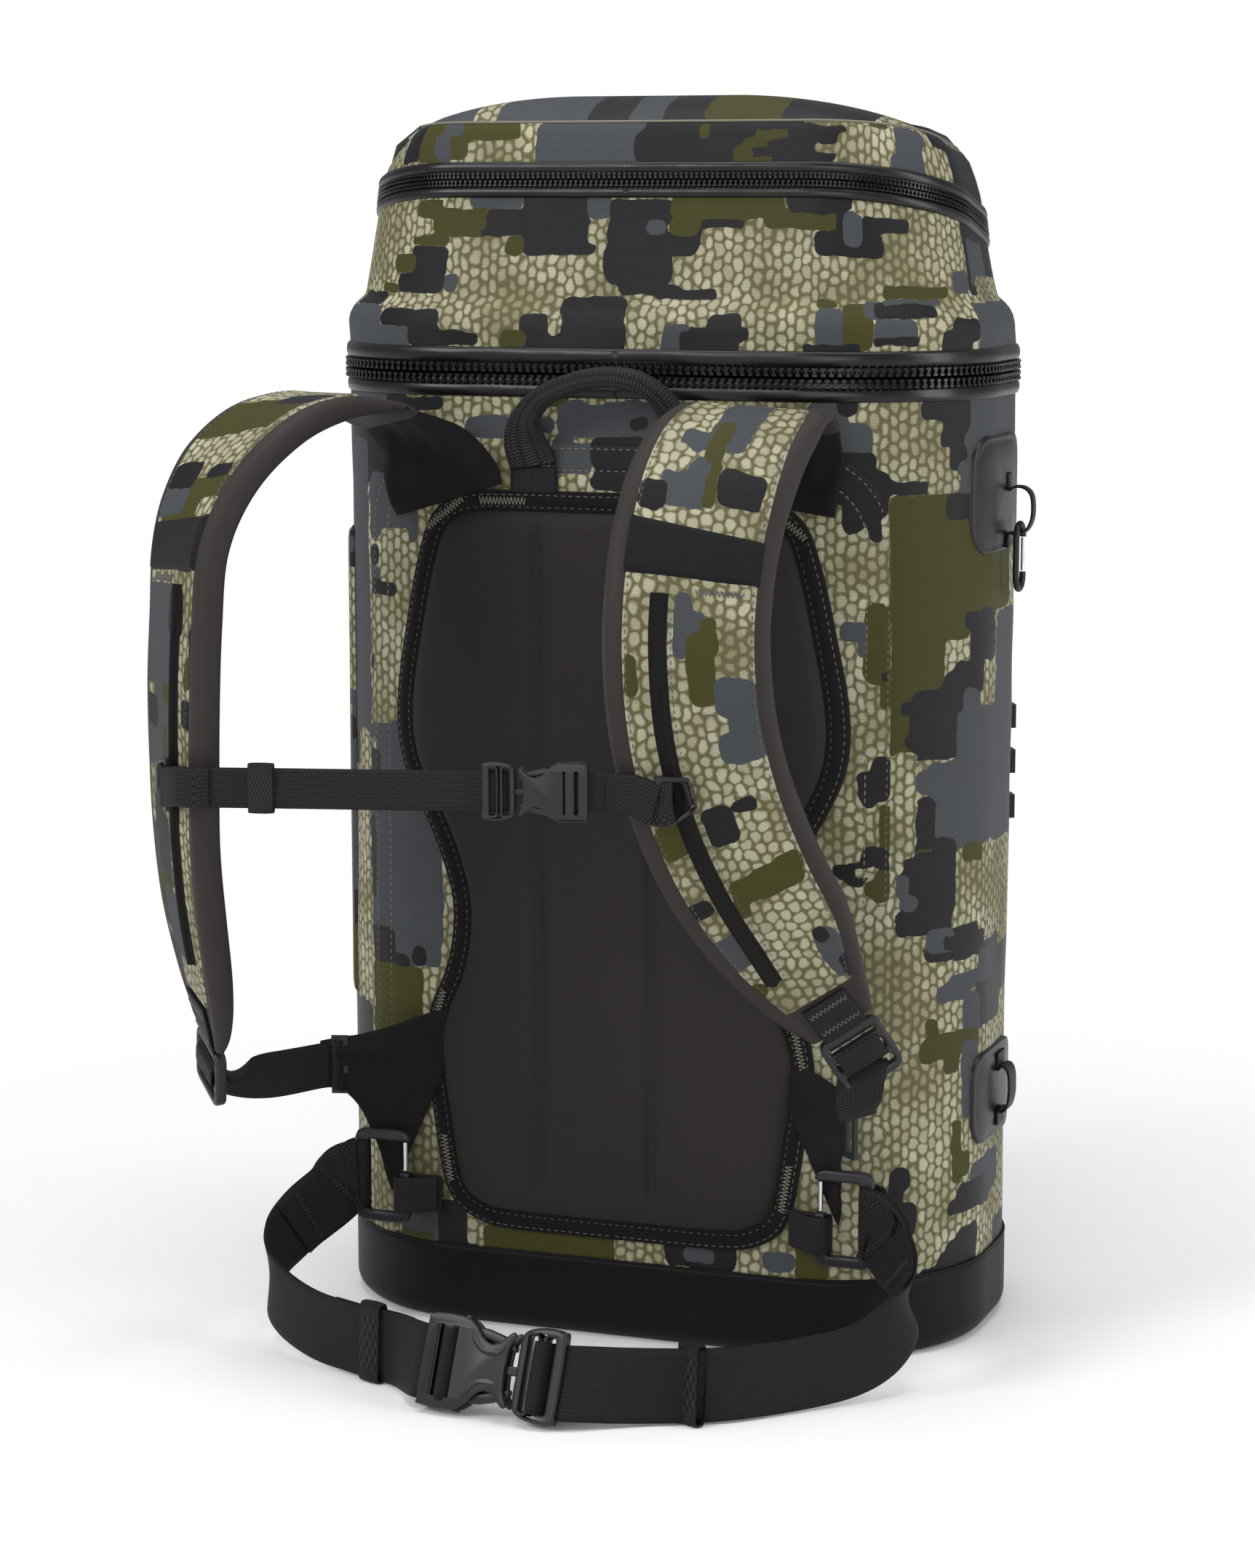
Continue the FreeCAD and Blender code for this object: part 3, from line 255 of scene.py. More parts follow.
# ------------------------------------------------------------------ camouflage layout
# print layout: colour letter and a rounded block (u0,v0,u1,v1 in mm) each, painted in order; T is the base colour
CAMO_BODY = (
    "S,103,489,124,505 S,109,474,136,494 S,119,470,136,484 K,119,498,128,507 S,192,446,278,508 K,164,496,197,508 K,178,488,197,499 K,176,482,194,490 K,182,468,196,483 S,188,458,212,475 "
    "O,147,392,213,458 O,148,356,181,398 O,148,320,160,364 O,178,382,199,404 O,155,321,161,338 K,140,459,170,465 O,212,394,259,439 T,167,458,191,470 K,179,444,212,458 K,197,437,212,446 "
    "K,194,387,230,396 K,200,369,231,390 K,187,352,214,370 K,181,355,196,365 S,234,260,277,392 K,160,320,194,356 K,154,344,164,351 K,156,326,166,334 K,176,344,193,359 S,189,271,276,344 "
    "S,194,334,210,355 S,170,298,194,318 S,175,272,200,302 S,164,302,178,314 K,163,260,175,300 K,164,267,191,278 K,155,236,190,269 T,149,298,164,325 T,149,274,164,300 T,149,262,157,278 "
    "O,163,271,175,274 O,196,262,218,273 T,192,222,278,262 T,216,257,278,269 T,190,227,214,244 S,152,248,160,261 S,155,240,166,250 K,152,228,189,240 K,185,221,213,230 K,169,212,191,225 "
    "S,170,216,192,230 K,182,218,221,225 K,191,211,250,217 S,214,191,251,214 K,248,184,278,210 K,211,171,256,195 S,178,190,206,199 S,187,194,215,203 S,199,169,218,190 O,169,160,209,172 "
    "O,172,172,179,181 O,167,158,179,170 O,184,150,196,163 O,200,160,216,172 S,198,124,215,165 K,151,132,152,142 O,190,106,197,124 O,191,89,198,108 O,193,92,207,105 S,209,83,251,97 "
    "S,227,76,253,98 K,188,72,236,80 K,196,75,234,88 K,151,91,162,103 K,151,81,158,94 K,151,65,166,83 K,196,53,217,64 K,187,41,216,58 K,181,41,203,52 K,169,37,194,46 S,247,42,278,57 "
    "K,101,472,122,482 K,119,462,139,480 K,131,447,146,470 K,136,435,142,454 T,107,468,121,474 K,113,454,130,468 K,122,440,134,462 O,134,362,146,403 O,143,348,146,364 S,121,384,136,393 "
    "S,131,376,136,386 K,143,363,146,368 K,131,300,148,316 K,139,314,148,322 K,133,297,140,304 O,143,273,148,298 K,134,262,148,276 K,125,256,137,268 K,119,260,127,267 T,130,260,142,266 "
    "O,140,246,148,264 O,136,249,148,258 K,140,153,149,164 K,-136,31,-76,45 O,-76,38,-2,58 T,-1,45,28,57 K,28,44,68,59 S,38,47,56,56 T,68,46,83,55 S,83,47,100,56 O,101,43,118,71 "
    "K,-191,457,-120,506 S,-151,427,-128,463 S,-131,427,-113,448 S,-189,321,-154,481 T,-142,328,-118,434 K,-151,411,-142,424 S,-151,404,-142,412 K,-151,397,-127,405 K,-152,357,-148,364 "
    "S,-154,197,-100,327 S,-133,309,-107,331 T,-153,312,-145,319 K,-153,299,-142,313 T,-169,146,-157,323 K,-154,230,-147,276 K,-154,192,-132,216 K,-133,191,-121,203 K,-119,197,-109,208 "
    "O,-154,148,-112,196 T,-191,168,-171,235 K,-193,140,-157,169 S,-128,42,-103,68 O,-128,43,-106,49 K,-103,30,-87,68 S,-178,499,-134,509 K,-134,498,-98,504 S,-85,484,-59,495 "
    "O,-52,501,-26,508 S,-49,488,-35,495 S,-32,486,23,504 T,-20,502,-5,508 K,7,489,17,496 S,-35,466,-13,486 T,-25,482,-13,486 K,-14,471,19,485 K,-11,458,13,472 K,-14,458,-7,465 ")
CAMO_LID = (
    "O,-125,601,-103,611 O,-111,592,-73,606 O,-91,601,-58,606 O,-127,587,-100,592 T,-106,606,-83,616 S,-88,606,-58,616 K,-79,592,-55,606 K,-82,592,-64,596 K,-58,582,-16,616 "
    "O,-67,582,-56,592 S,-22,601,-8,616 T,-22,587,-10,601 K,-10,567,27,611 K,-12,572,-2,587 K,-3,562,20,572 K,-8,587,41,611 K,26,582,41,601 K,9,562,23,587 S,11,592,23,601 "
    "O,24,601,86,616 O,24,592,40,601 O,38,596,67,601 O,75,596,122,606 K,41,596,65,601 T,41,582,103,596 T,64,592,75,601 K,87,604,127,616 K,104,582,146,596 K,118,596,164,604 "
    "K,118,592,140,606 S,121,587,134,606 T,126,604,171,618 K,17,559,52,565 K,23,562,32,567 K,-127,562,-100,587 K,-138,562,-107,572 O,-142,572,-123,582 O,-154,562,-136,567 "
    "S,-102,562,-92,572 O,144,560,189,567 K,212,562,249,614 S,194,562,212,577 S,217,567,253,601 K,249,575,274,621 T,224,561,274,575 K,-181,553,-146,562 S,-190,530,-142,553 "
    "K,-142,541,-100,551 S,-149,531,-116,541 K,-119,531,-98,541 K,-101,531,-77,539 K,-55,541,-38,549 K,-56,529,-32,544 K,-33,543,4,561 K,-34,529,5,546 T,-38,537,-31,550 "
    "O,-65,529,-50,540 K,50,541,68,550 K,35,536,73,543 K,32,527,67,541 S,25,526,35,543 S,26,539,40,544 O,107,554,119,560 S,107,532,122,554 O,121,531,137,557 S,132,547,144,559 "
    "K,138,547,164,559 S,137,534,160,547 K,137,533,162,538 S,143,556,181,560 K,154,548,174,557 K,100,528,130,535 K,176,528,198,541 K,184,535,206,547 S,205,528,278,557 ")
CAMO_CAP = (
    "K,-148,630,-121,651 O,-130,629,-102,651 O,-116,640,-61,651 O,-121,629,-91,646 S,-109,643,-93,651 S,-117,632,-103,644 S,-112,629,-101,638 T,-91,628,-52,641 T,-61,637,-48,651 "
    "S,-52,628,10,651 S,-52,628,2,646 K,7,626,97,651 K,2,628,116,645 K,92,639,124,648 T,101,633,121,639 O,68,640,86,645 O,62,636,76,641 O,56,626,68,637 O,65,626,79,631 T,116,629,158,645 "
    "T,93,648,142,651 T,124,633,166,651 O,140,647,154,651 S,158,629,186,650 S,153,627,194,636 T,179,626,207,642 K,210,620,271,648 K,193,643,218,651 O,38,641,44,649 ")
CAMO_TOP = (
    "K,-59,-85,5,-5 K,-67,-81,-5,-5 S,-77,-83,-25,-9 S,-3,-85,51,-1 K,15,-85,95,-5 O,57,-85,101,-25 O,37,-75,95,11 K,81,-85,125,-23 S,-129,-85,-91,-41 ")
CAMO_SL = (
    "O,-34,76,23,110 O,-16,71,22,106 T,5,106,42,130 T,-22,119,32,135 K,-1,60,25,79 O,35,107,42,115 T,40,113,42,121 K,30,132,42,168 K,42,130,42,142 K,6,130,27,182 O,-10,137,32,160 "
    "O,-25,148,17,174 K,-30,127,-2,143 T,13,148,38,158 S,-34,141,-2,155 K,23,157,42,181 S,-42,188,16,286 K,-2,191,21,212 T,34,194,42,208 K,30,205,42,224 O,25,220,42,237 T,27,235,42,271 "
    "O,-8,237,4,249 T,-40,241,-20,255 K,-40,247,-16,263 O,-8,260,0,281 K,22,240,34,255 T,-39,286,-15,317 K,-24,300,-10,325 K,-21,308,-1,348 T,13,289,32,328 S,-38,318,-20,360 "
    "O,-25,344,-4,376 S,-18,349,18,388 T,0,369,26,393 K,-34,382,-9,415 ")
CAMO_SR = (
    "O,-40,40,-33,61 K,1,33,11,45 S,-21,66,-6,80 S,-10,12,11,75 S,-11,81,4,108 S,-23,91,4,109 T,-31,77,-13,93 T,-10,77,4,81 K,-32,99,-19,113 K,4,83,27,103 T,0,77,24,83 O,-8,55,2,84 "
    "O,-2,83,4,107 S,-8,147,1,177 S,-6,156,10,171 O,-1,165,13,201 O,6,158,14,176 S,11,188,31,208 S,16,191,34,234 S,10,217,30,232 K,-8,253,8,274 K,8,253,22,260 O,1,293,28,311 "
    "O,-10,294,10,309 O,16,291,31,302 O,-12,306,-4,317 K,-33,296,-20,307 S,-35,321,-14,343 O,-32,253,-16,271 S,13,342,26,367 K,14,340,22,350 S,13,351,26,376 O,-28,355,-20,364 "
    "K,18,362,33,380 O,-32,174,-26,193 ")
def blocks(t): return [(w.split(",")[0],) + tuple(float(x) for x in w.split(",")[1:]) for w in t.split()]
def extra(L, u0, u1, v0, v1, seed, density=1.3, scale=1.1):
    """More blotches for the part of a panel outside the listed ones."""
    r = random.Random(seed); n = int((u1 - u0) * (v1 - v0) / 3600.0 * density)
    for i in range(n):
        c = r.choices("KSOT", (0.36, 0.24, 0.25, 0.15))[0]
        x, y = r.uniform(u0, u1), r.uniform(v0, v1)
        for j in range(r.randint(2, 5)):
            wx, wy = r.uniform(10, 34) * scale, r.uniform(7, 22) * scale
            if x - wx / 2 > u0 - 8 and x + wx / 2 < u1 + 8: L.append((c, x - wx / 2, y - wy / 2, x + wx / 2, y + wy / 2))
            x += r.uniform(-0.6, 0.6) * (wx + 8); y += r.uniform(-0.7, 0.7) * (wy + 6)
    return L
def paint(u, v, L, rad=4.6, seed=1):
    sh = u.shape; u = u.ravel(); v = v.ravel()
    wu = u + 1.0 * vnoise(u / 9.0, v / 9.0, seed) + 0.5 * vnoise(u / 3.4, v / 3.4, seed + 5)
    wv = v + 1.0 * vnoise(u / 9.0 + 20, v / 9.0, seed + 1) + 0.5 * vnoise(u / 3.4 + 9, v / 3.4, seed + 6)
    D = {c: np.full(u.shape, 8.0) for c in "KSO"}
    for (c, a, b, x, y) in L:
        hu, hv = (x - a) / 2, (y - b) / 2
        if hu < 0.6 or hv < 0.6: continue
        m = (wu > a - 9) & (wu < x + 9) & (wv > b - 9) & (wv < y + 9)
        if not m.any(): continue
        r = min(rad, hu * 0.8, hv * 0.8)
        qx = np.abs(wu[m] - (a + x) / 2) - hu + r; qy = np.abs(wv[m] - (b + y) / 2) - hv + r
        sd = np.clip(np.hypot(np.maximum(qx, 0), np.maximum(qy, 0)) + np.minimum(np.maximum(qx, qy), 0) - r, -8, 8)
        for k in "KSO":
            if k == c:
                o = D[k][m]; h = np.clip(0.5 + 0.5 * (o - sd) / 2.5, 0, 1); D[k][m] = o * (1 - h) + sd * h - 2.5 * h * (1 - h) * 0.8
            elif c == "T" or "OSK".index(k) > "OSK".index(c): D[k][m] = np.maximum(D[k][m], -(sd + 0.3))
    return {"c" + k: D[k].reshape(sh) for k in "KSO"}
ZS = 0.225
RIDGE = 41.0
LAY_BODY_L = extra(extra(blocks(CAMO_BODY), -500, -176, 40, 520, 3), 282, 500, 40, 520, 4) + blocks(CAMO_BODY)
LAY_LID_L = extra(extra(blocks(CAMO_LID), -500, -190, 516, 640, 5), 300, 500, 516, 640, 6)
LAY_CAP_L = extra(extra(blocks(CAMO_CAP), -500, -190, 620, 660, 7), 300, 500, 620, 660, 8)
LAY_TOP_L = extra(blocks(CAMO_TOP), -160, 160, -60, 90, 12, 1.4) + blocks(CAMO_TOP)
LAY_S = {"left": blocks(CAMO_SL), "right": blocks(CAMO_SR)}

# ------------------------------------------------------------------ materials
def camo_mat(name, weave=1.0, cell=(5.4, 7.4), gloss=0.42, dim=1.0):
    m, nt, bs = new_mat(name); g = G(nt)
    vec, u, v = g.uv()
    n1 = g.noise(vec, 95.0, 2.0); n2 = g.noise(g.comb(v, u, 0.37), 95.0, 2.0)
    # reptile-scale cells, in columns that lean and swell
    cu = g.math('ADD', g.math('DIVIDE', u, cell[0] * MM), g.math('MULTIPLY', g.math('SUBTRACT', n1, 0.5), 1.25))
    col = g.math('FLOOR', cu)
    half = g.math('MULTIPLY', g.math('MODULO', g.math('ABSOLUTE', col), 2.0), 0.42)
    cv = g.math('ADD', g.math('ADD', g.math('DIVIDE', v, cell[1] * MM), half), g.math('MULTIPLY', g.math('SUBTRACT', n2, 0.5), 1.1))
    row = g.math('FLOOR', cv)
    fu = g.math('SUBTRACT', g.math('FRACT', cu), 0.5); fv = g.math('SUBTRACT', g.math('FRACT', cv), 0.5)
    wnn = nt.nodes.new("ShaderNodeTexWhiteNoise"); wnn.noise_dimensions = '2D'
    g.link(g.comb(col, row, 0.0), wnn.inputs["Vector"])
    rnd = wnn.outputs["Value"]
    pu = g.math('POWER', g.math('ABSOLUTE', fu), 2.4); pv = g.math('POWER', g.math('ABSOLUTE', fv), 2.4)
    d = g.math('POWER', g.math('ADD', pu, pv), 1 / 2.4)
    lowf = g.noise(vec, 22.0, 2.0)                       # areas of bolder or fainter outline
    edge = g.smooth(g.math('ADD', d, g.math('MULTIPLY', g.math('SUBTRACT', lowf, 0.5), 0.30)), 0.27, 0.50)
    tan_l = g.mix(rnd, srgb(166, 163, 136), srgb(194, 191, 164))
    tan_l = g.mix(g.smooth(lowf, 0.42, 0.70), tan_l, srgb(140, 136, 104))
    tan_d = srgb(96, 92, 62)
    tan = g.mix(edge, tan_l, tan_d)
    # weave: threads crossing at just under a millimetre; the thread tops get a painted highlight (olive, slate and
    # black lighter there), and tan is darkened between them
    P = 1.02 * MM
    wa = g.math('SINE', g.math('MULTIPLY', g.math('ADD', u, v), 2 * math.pi / (P * 1.42)))
    wb = g.math('SINE', g.math('MULTIPLY', g.math('SUBTRACT', u, v), 2 * math.pi / (P * 1.42)))
    wv_ = g.math('MULTIPLY', wa, wb)
    thread_top_highlight = g.smooth(wv_, -0.5, 0.7)
    tan = g.mix(g.math('MULTIPLY', g.math('SUBTRACT', 1.0, thread_top_highlight), 0.50 * weave), tan, srgb(70, 67, 46))
    # olive, slate and black: painted highlight on the thread tops
    oliv = g.mix(g.math('MULTIPLY', thread_top_highlight, 0.42 * weave), srgb(50, 49, 14), srgb(86, 84, 34))
    slat = g.mix(g.math('MULTIPLY', thread_top_highlight, 0.46 * weave), srgb(52, 55, 58), srgb(90, 93, 97))
    blak = g.mix(g.math('MULTIPLY', thread_top_highlight, 0.10 * weave), srgb(17, 17, 19), srgb(42, 42, 45))
    fz = g.math('MULTIPLY', g.math('SUBTRACT', wv_, 0.0), 0.00012)
    def mask(a): return g.smooth(g.math('ADD', g.attr(a).outputs["Fac"], g.math('MULTIPLY', fz, 1000.0)), -0.22, 0.22, 1.0, 0.0)
    mO, mS, mK = mask("cO"), mask("cS"), mask("cK")
    c = g.mix(mO, tan, oliv); c = g.mix(mS, c, slat); c = g.mix(mK, c, blak)
    big = g.noise(vec, 9.0, 3.0)
    c = g.mix(g.smooth(big, 0.35, 0.75, 0.0, 0.16), c, (0.02, 0.02, 0.018))
    if dim != 1.0: c = g.mix(1 - dim, c, (0, 0, 0))
    g.link(c, bs.inputs["Base Color"])
    rough = g.mixf(mK, g.mixf(thread_top_highlight, gloss + 0.24, gloss + 0.06), gloss)
    g.link(rough, bs.inputs["Roughness"])
    bs.inputs["Specular IOR Level"].default_value = 0.17
    wb1 = g.bump(wv_, 0.00010, 0.55 * weave)
    bn = g.noise(vec, 38.0, 3.0)
    g.link(g.bump(bn, 0.0012, 0.22, wb1), bs.inputs["Normal"])
    return m

def webbing_mat(name, base=(13, 13, 13), light=(50, 50, 50), pu=1.25, pv=2.0, rough=0.62, slant=0.0):
    """u runs along the webbing, v across."""
    m, nt, bs = new_mat(name); g = G(nt)
    vec, u, v = g.uv()
    colv = g.math('FLOOR', g.math('DIVIDE', v, pv * MM))
    ph = g.math('MULTIPLY', g.math('MODULO', g.math('ABSOLUTE', colv), 2.0), math.pi)
    au = g.math('ADD', g.math('ADD', g.math('MULTIPLY', u, 2 * math.pi / (pu * MM)), ph), g.math('MULTIPLY', v, slant * 2 * math.pi / (pu * MM)))
    r1 = g.math('SINE', au)
    r2 = g.math('ABSOLUTE', g.math('SINE', g.math('MULTIPLY', v, math.pi / (pv * MM))))
    h = g.math('MULTIPLY', g.math('ADD', g.math('MULTIPLY', r1, 0.5), 0.5), g.math('POWER', r2, 0.5))
    fib = g.noise(vec, 2600.0, 2.0)
    c = g.mix(g.math('MULTIPLY', h, 0.85), srgb(*base), srgb(*light))
    c = g.mix(g.math('MULTIPLY', fib, 0.25), c, srgb(*base))
    g.link(c, bs.inputs["Base Color"])
    bs.inputs["Roughness"].default_value = rough
    bs.inputs["Specular IOR Level"].default_value = 0.14
    bs.inputs["Sheen Weight"].default_value = 0.02
    g.link(g.bump(g.math('ADD', h, g.math('MULTIPLY', fib, 0.2)), 0.00028, 0.8), bs.inputs["Normal"])
    return m

def foam_mat(name, col, rough=0.58, grain=0.5, knit=False):
    m, nt, bs = new_mat(name); g = G(nt)
    p = g.obj()
    n = g.noise(p, 900.0, 3.0, 0.6); n2 = g.noise(p, 14.0, 3.0)
    c = g.mix(g.smooth(n2, 0.3, 0.75, 0.0, 0.35), srgb(*col), tuple(x * 0.72 for x in srgb(*col)))
    c = g.mix(g.math('MULTIPLY', n, 0.22), c, tuple(min(1, x * 1.5) for x in srgb(*col)))
    g.link(c, bs.inputs["Base Color"]); bs.inputs["Roughness"].default_value = rough
    bs.inputs["Specular IOR Level"].default_value = 0.13
    bs.inputs["Sheen Weight"].default_value = 0.02; bs.inputs["Sheen Roughness"].default_value = 0.6
    h = n
    if knit:
        vec, u, v = g.uv()
        k1 = g.math('SINE', g.math('MULTIPLY', g.math('ADD', u, v), 2 * math.pi / (0.9 * MM)))
        k2 = g.math('SINE', g.math('MULTIPLY', g.math('SUBTRACT', u, v), 2 * math.pi / (0.9 * MM)))
        h = g.math('ADD', g.math('MULTIPLY', g.math('MULTIPLY', k1, k2), 0.6), n)
    g.link(g.bump(h, 0.00012, grain), bs.inputs["Normal"])
    return m

def plastic_mat(name, col, rough=0.38, grain=0.25):
    m, nt, bs = new_mat(name); g = G(nt)
    p = g.obj()
    n = g.noise(p, 1500.0, 2.0, 0.6); n2 = g.noise(p, 60.0, 4.0)
    c = g.mix(g.smooth(n2, 0.4, 0.8, 0.0, 0.3), srgb(*col), tuple(min(1, x * 1.35) for x in srgb(*col)))
    g.link(c, bs.inputs["Base Color"])
    g.link(g.mixf(n2, rough - 0.06, rough + 0.10), bs.inputs["Roughness"])
    bs.inputs["Specular IOR Level"].default_value = 0.36
    g.link(g.bump(n, 0.00005, grain), bs.inputs["Normal"])
    return m

def metal_mat(name):
    m, nt, bs = new_mat(name); g = G(nt)
    n = g.noise(g.obj(), 700.0, 2.0)
    bs.inputs["Base Color"].default_value = (0.62, 0.62, 0.64, 1); bs.inputs["Metallic"].default_value = 1.0
    g.link(g.mixf(n, 0.18, 0.34), bs.inputs["Roughness"])
    return m

def tape_mat(name, col=(9, 9, 9), rough=0.26):
    """Rubber-coated zip tape: smooth, glossy, slightly dimpled."""
    m, nt, bs = new_mat(name); g = G(nt)
    p = g.obj()
    n = g.noise(p, 420.0, 3.0, 0.6); n2 = g.noise(p, 30.0, 3.0)
    c = g.mix(g.smooth(n2, 0.3, 0.8, 0.0, 0.4), srgb(*col), srgb(col[0] + 16, col[1] + 15, col[2] + 13))
    g.link(c, bs.inputs["Base Color"])
    g.link(g.mixf(n2, rough, rough + 0.14), bs.inputs["Roughness"])
    bs.inputs["Specular IOR Level"].default_value = 0.36
    g.link(g.bump(g.math('ADD', g.math('MULTIPLY', n, 0.3), g.math('MULTIPLY', n2, 2.0)), 0.0006, 0.30), bs.inputs["Normal"])
    return m

def thread_mat(name, col):
    m, nt, bs = new_mat(name); g = G(nt)
    n = g.noise(g.obj(), 2200.0, 2.0)
    g.link(g.mix(n, tuple(x * 0.7 for x in srgb(*col)), srgb(*col)), bs.inputs["Base Color"])
    bs.inputs["Roughness"].default_value = 0.6
    bs.inputs["Specular IOR Level"].default_value = 0.2
    return m

M_CAMO = camo_mat("camo_body")
M_CAMO_LID = camo_mat("camo_lid")
M_CAMO_STRAP = camo_mat("camo_strap", weave=1.1, cell=(5.8, 6.8), gloss=0.5)
M_WEB = webbing_mat("webbing_black")
M_WEB_BAND = webbing_mat("webbing_band", (9, 9, 10), (32, 32, 33), 1.1, 1.5)
M_BIND = webbing_mat("binding_tape", (9, 9, 8), (28, 27, 26), 0.8, 1.1, 0.75)
M_FOAM = foam_mat("foam_edge", (46, 42, 40), 0.55, 0.4, True)
M_PAD = foam_mat("foam_pad", (38, 34, 33), 0.62, 0.35)
M_BASE = foam_mat("base_rubber", (9, 9, 10), 0.50, 0.5)
M_TAPE = tape_mat("zip_tape")
M_TEETH = plastic_mat("zip_teeth", (9, 9, 10), 0.30)
M_PLAS = plastic_mat("buckle_plastic", (28, 29, 31), 0.36)
M_PLASB = plastic_mat("black_plastic", (14, 14, 15), 0.42)
M_TPU = plastic_mat("tpu_black", (13, 13, 14), 0.36, 0.4)
M_TPU2 = webbing_mat("coated_strap", (12, 12, 13), (26, 26, 27), 0.9, 2.4, 0.4)
M_DARKFAB = webbing_mat("dark_fabric", (17, 15, 15), (30, 28, 28), 0.7, 0.7, 0.72)
M_LINER = foam_mat("liner_fabric", (150, 152, 155), 0.6, 0.4)
M_BOARD = plastic_mat("board", (215, 215, 210), 0.5)
M_WIRE = metal_mat("wire")
M_THREAD_L = thread_mat("thread_light", (130, 130, 128))
M_THREAD_D = thread_mat("thread_dark", (40, 40, 42))
M_THREAD_M = thread_mat("thread_mid", (122, 118, 104))
M_THREAD_D2 = thread_mat("thread_grey", (92, 92, 94))
M_WEB_H = webbing_mat("webbing_handle", (10, 10, 10), (62, 62, 62), 1.7, 2.6, 0.55, 0.35)
M_BELT = webbing_mat("webbing_belt", (11, 10, 10), (44, 43, 42), 1.15, 1.9, 0.6)
M_FOAMWEB = webbing_mat("elastic_sleeve", (24, 22, 21), (58, 56, 54), 0.9, 0.9, 0.7)

# CAD nodes shown as they are, with a finish and softened edges
CAD_LOOK = {"main_slider": (M_PLASB, .35), "main_pull": (M_PLASB, .5), "cap_slider": (M_PLASB, .35), "cap_pull": (M_PLASB, .5), "wing_rings": (M_PLASB, .5),
            "gear_clip": (M_PLASB, 0), "gear_gate": (M_WIRE, 0), "hip_gate_left": (M_WIRE, 0), "hip_gate_right": (M_WIRE, 0), "inner_liner": (M_LINER, 0), "stiffener_boards": (M_BOARD, 0),
            "lid_floor": (M_LINER, 0), "front_daisy": (M_TPU, .5)}
def look(node, mat, bevel):
    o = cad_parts[node]
    o.data.materials.clear(); o.data.materials.append(mat)
    if bevel:
        md = o.modifiers.new("b", 'BEVEL'); md.width = bevel * MM; md.segments = 3; md.limit_method = 'ANGLE'; md.angle_limit = math.radians(35); md.use_clamp_overlap = True
    for p in o.data.polygons: p.use_smooth = bool(bevel) or mat in (M_WIRE, M_PLASB)
for n_, (m_, b_) in CAD_LOOK.items(): look(n_, m_, b_)

# ------------------------------------------------------------------ body, base, overlay
S_ALL = np.arange(0, PER, PER / 520.0)
def ring_grid(svals, zvals, inset):
    """inset(s, z) in mm -> points (ns, nz, 3)."""
    S, Z_ = np.meshgrid(svals, zvals, indexing='ij')
    C, n = foot(S)
    r = BR - inset(S, Z_)
    P = np.zeros(S.shape + (3,))
    P[..., 0] = C[..., 0] + n[..., 0] * r; P[..., 1] = C[..., 1] + n[..., 1] * r; P[..., 2] = Z_
    return S, Z_, P
def sgn_s(S): return np.where(S > PER / 2, S - PER, S)

def body_inset(S, Z_):
    s = sgn_s(S)
    amp = np.clip((Z_ - 60) / 80, 0, 1) * np.clip((500 - Z_) / 40, 0, 1)
    return amp * (0.9 * vnoise(s / 70 + 5, Z_ / 90, 3) + 0.35 * vnoise(s / 24, Z_ / 30, 4))
zz = np.concatenate([[12.5], np.arange(43, 506, 2.2), [508, 512, 517.2]])
S, Z_, P = ring_grid(S_ALL, zz, body_inset)
ns, nz = S.shape
u = sgn_s(S); gm = Geo()
gm.add(P, grid_faces(ns, nz, close_u=True), np.stack([u, Z_], -1), **paint(u, Z_, LAY_BODY_L))
# rim and inner wall
zi = np.array([517.6, 517.6, 400.0, 200.0, 16.2])
C, n = foot(S_ALL); Pi = np.zeros((ns, 5, 3))
for j, (z, i) in enumerate(zip(zi, (0.6, 3.9, 3.95, 3.95, 3.95))):
    Pi[:, j, :2] = C + n * (BR - i); Pi[:, j, 2] = z
ui = np.stack([np.repeat(sgn_s(S_ALL)[:, None], 5, 1), np.repeat(zi[None], ns, 0)], -1)
ca = {k: np.full((ns, 5), -5.0 if k == "cK" else 50.0) for k in ("cK", "cS", "cO")}
gm.add(Pi, grid_faces(ns, 5, close_u=True), ui, **ca)
gm.obj("body_fabric", M_CAMO, "pack", "camo_fabric", replaces=("body_shell",))

# moulded base
prof = [(9.0, 0.2), (6.2, 0.0)] + [(-1.5 + 9.5 * (1 - math.sin(a)), 10 - 10 * math.cos(a)) for a in np.linspace(0.25, math.pi / 2, 9)] + \
       [(-1.5, 14), (-1.5, 25), (-1.5, 38), (-1.4, 41), (-1.0, 42.4), (-0.2, 43.0), (0.4, 43.0)]
Pb = np.zeros((ns, len(prof), 3)); ub = np.zeros((ns, len(prof), 2))
for j, (i, z) in enumerate(prof):
    Pb[:, j, :2] = C + n * (BR - i); Pb[:, j, 2] = z; ub[:, j, 0] = S_ALL; ub[:, j, 1] = z
gb = Geo(); gb.add(Pb, grid_faces(ns, len(prof), close_u=True), ub)
c0 = Pb[:, 0, :].mean(0); c0[2] = 0.2
gb.add(np.vstack([Pb[:, 0, :], c0[None]]), [(i, (i + 1) % ns, ns) for i in range(ns)])
gb.obj("base_moulding", M_BASE, "pack", "base_moulding", replaces=("base_floor", "base_skirt"))

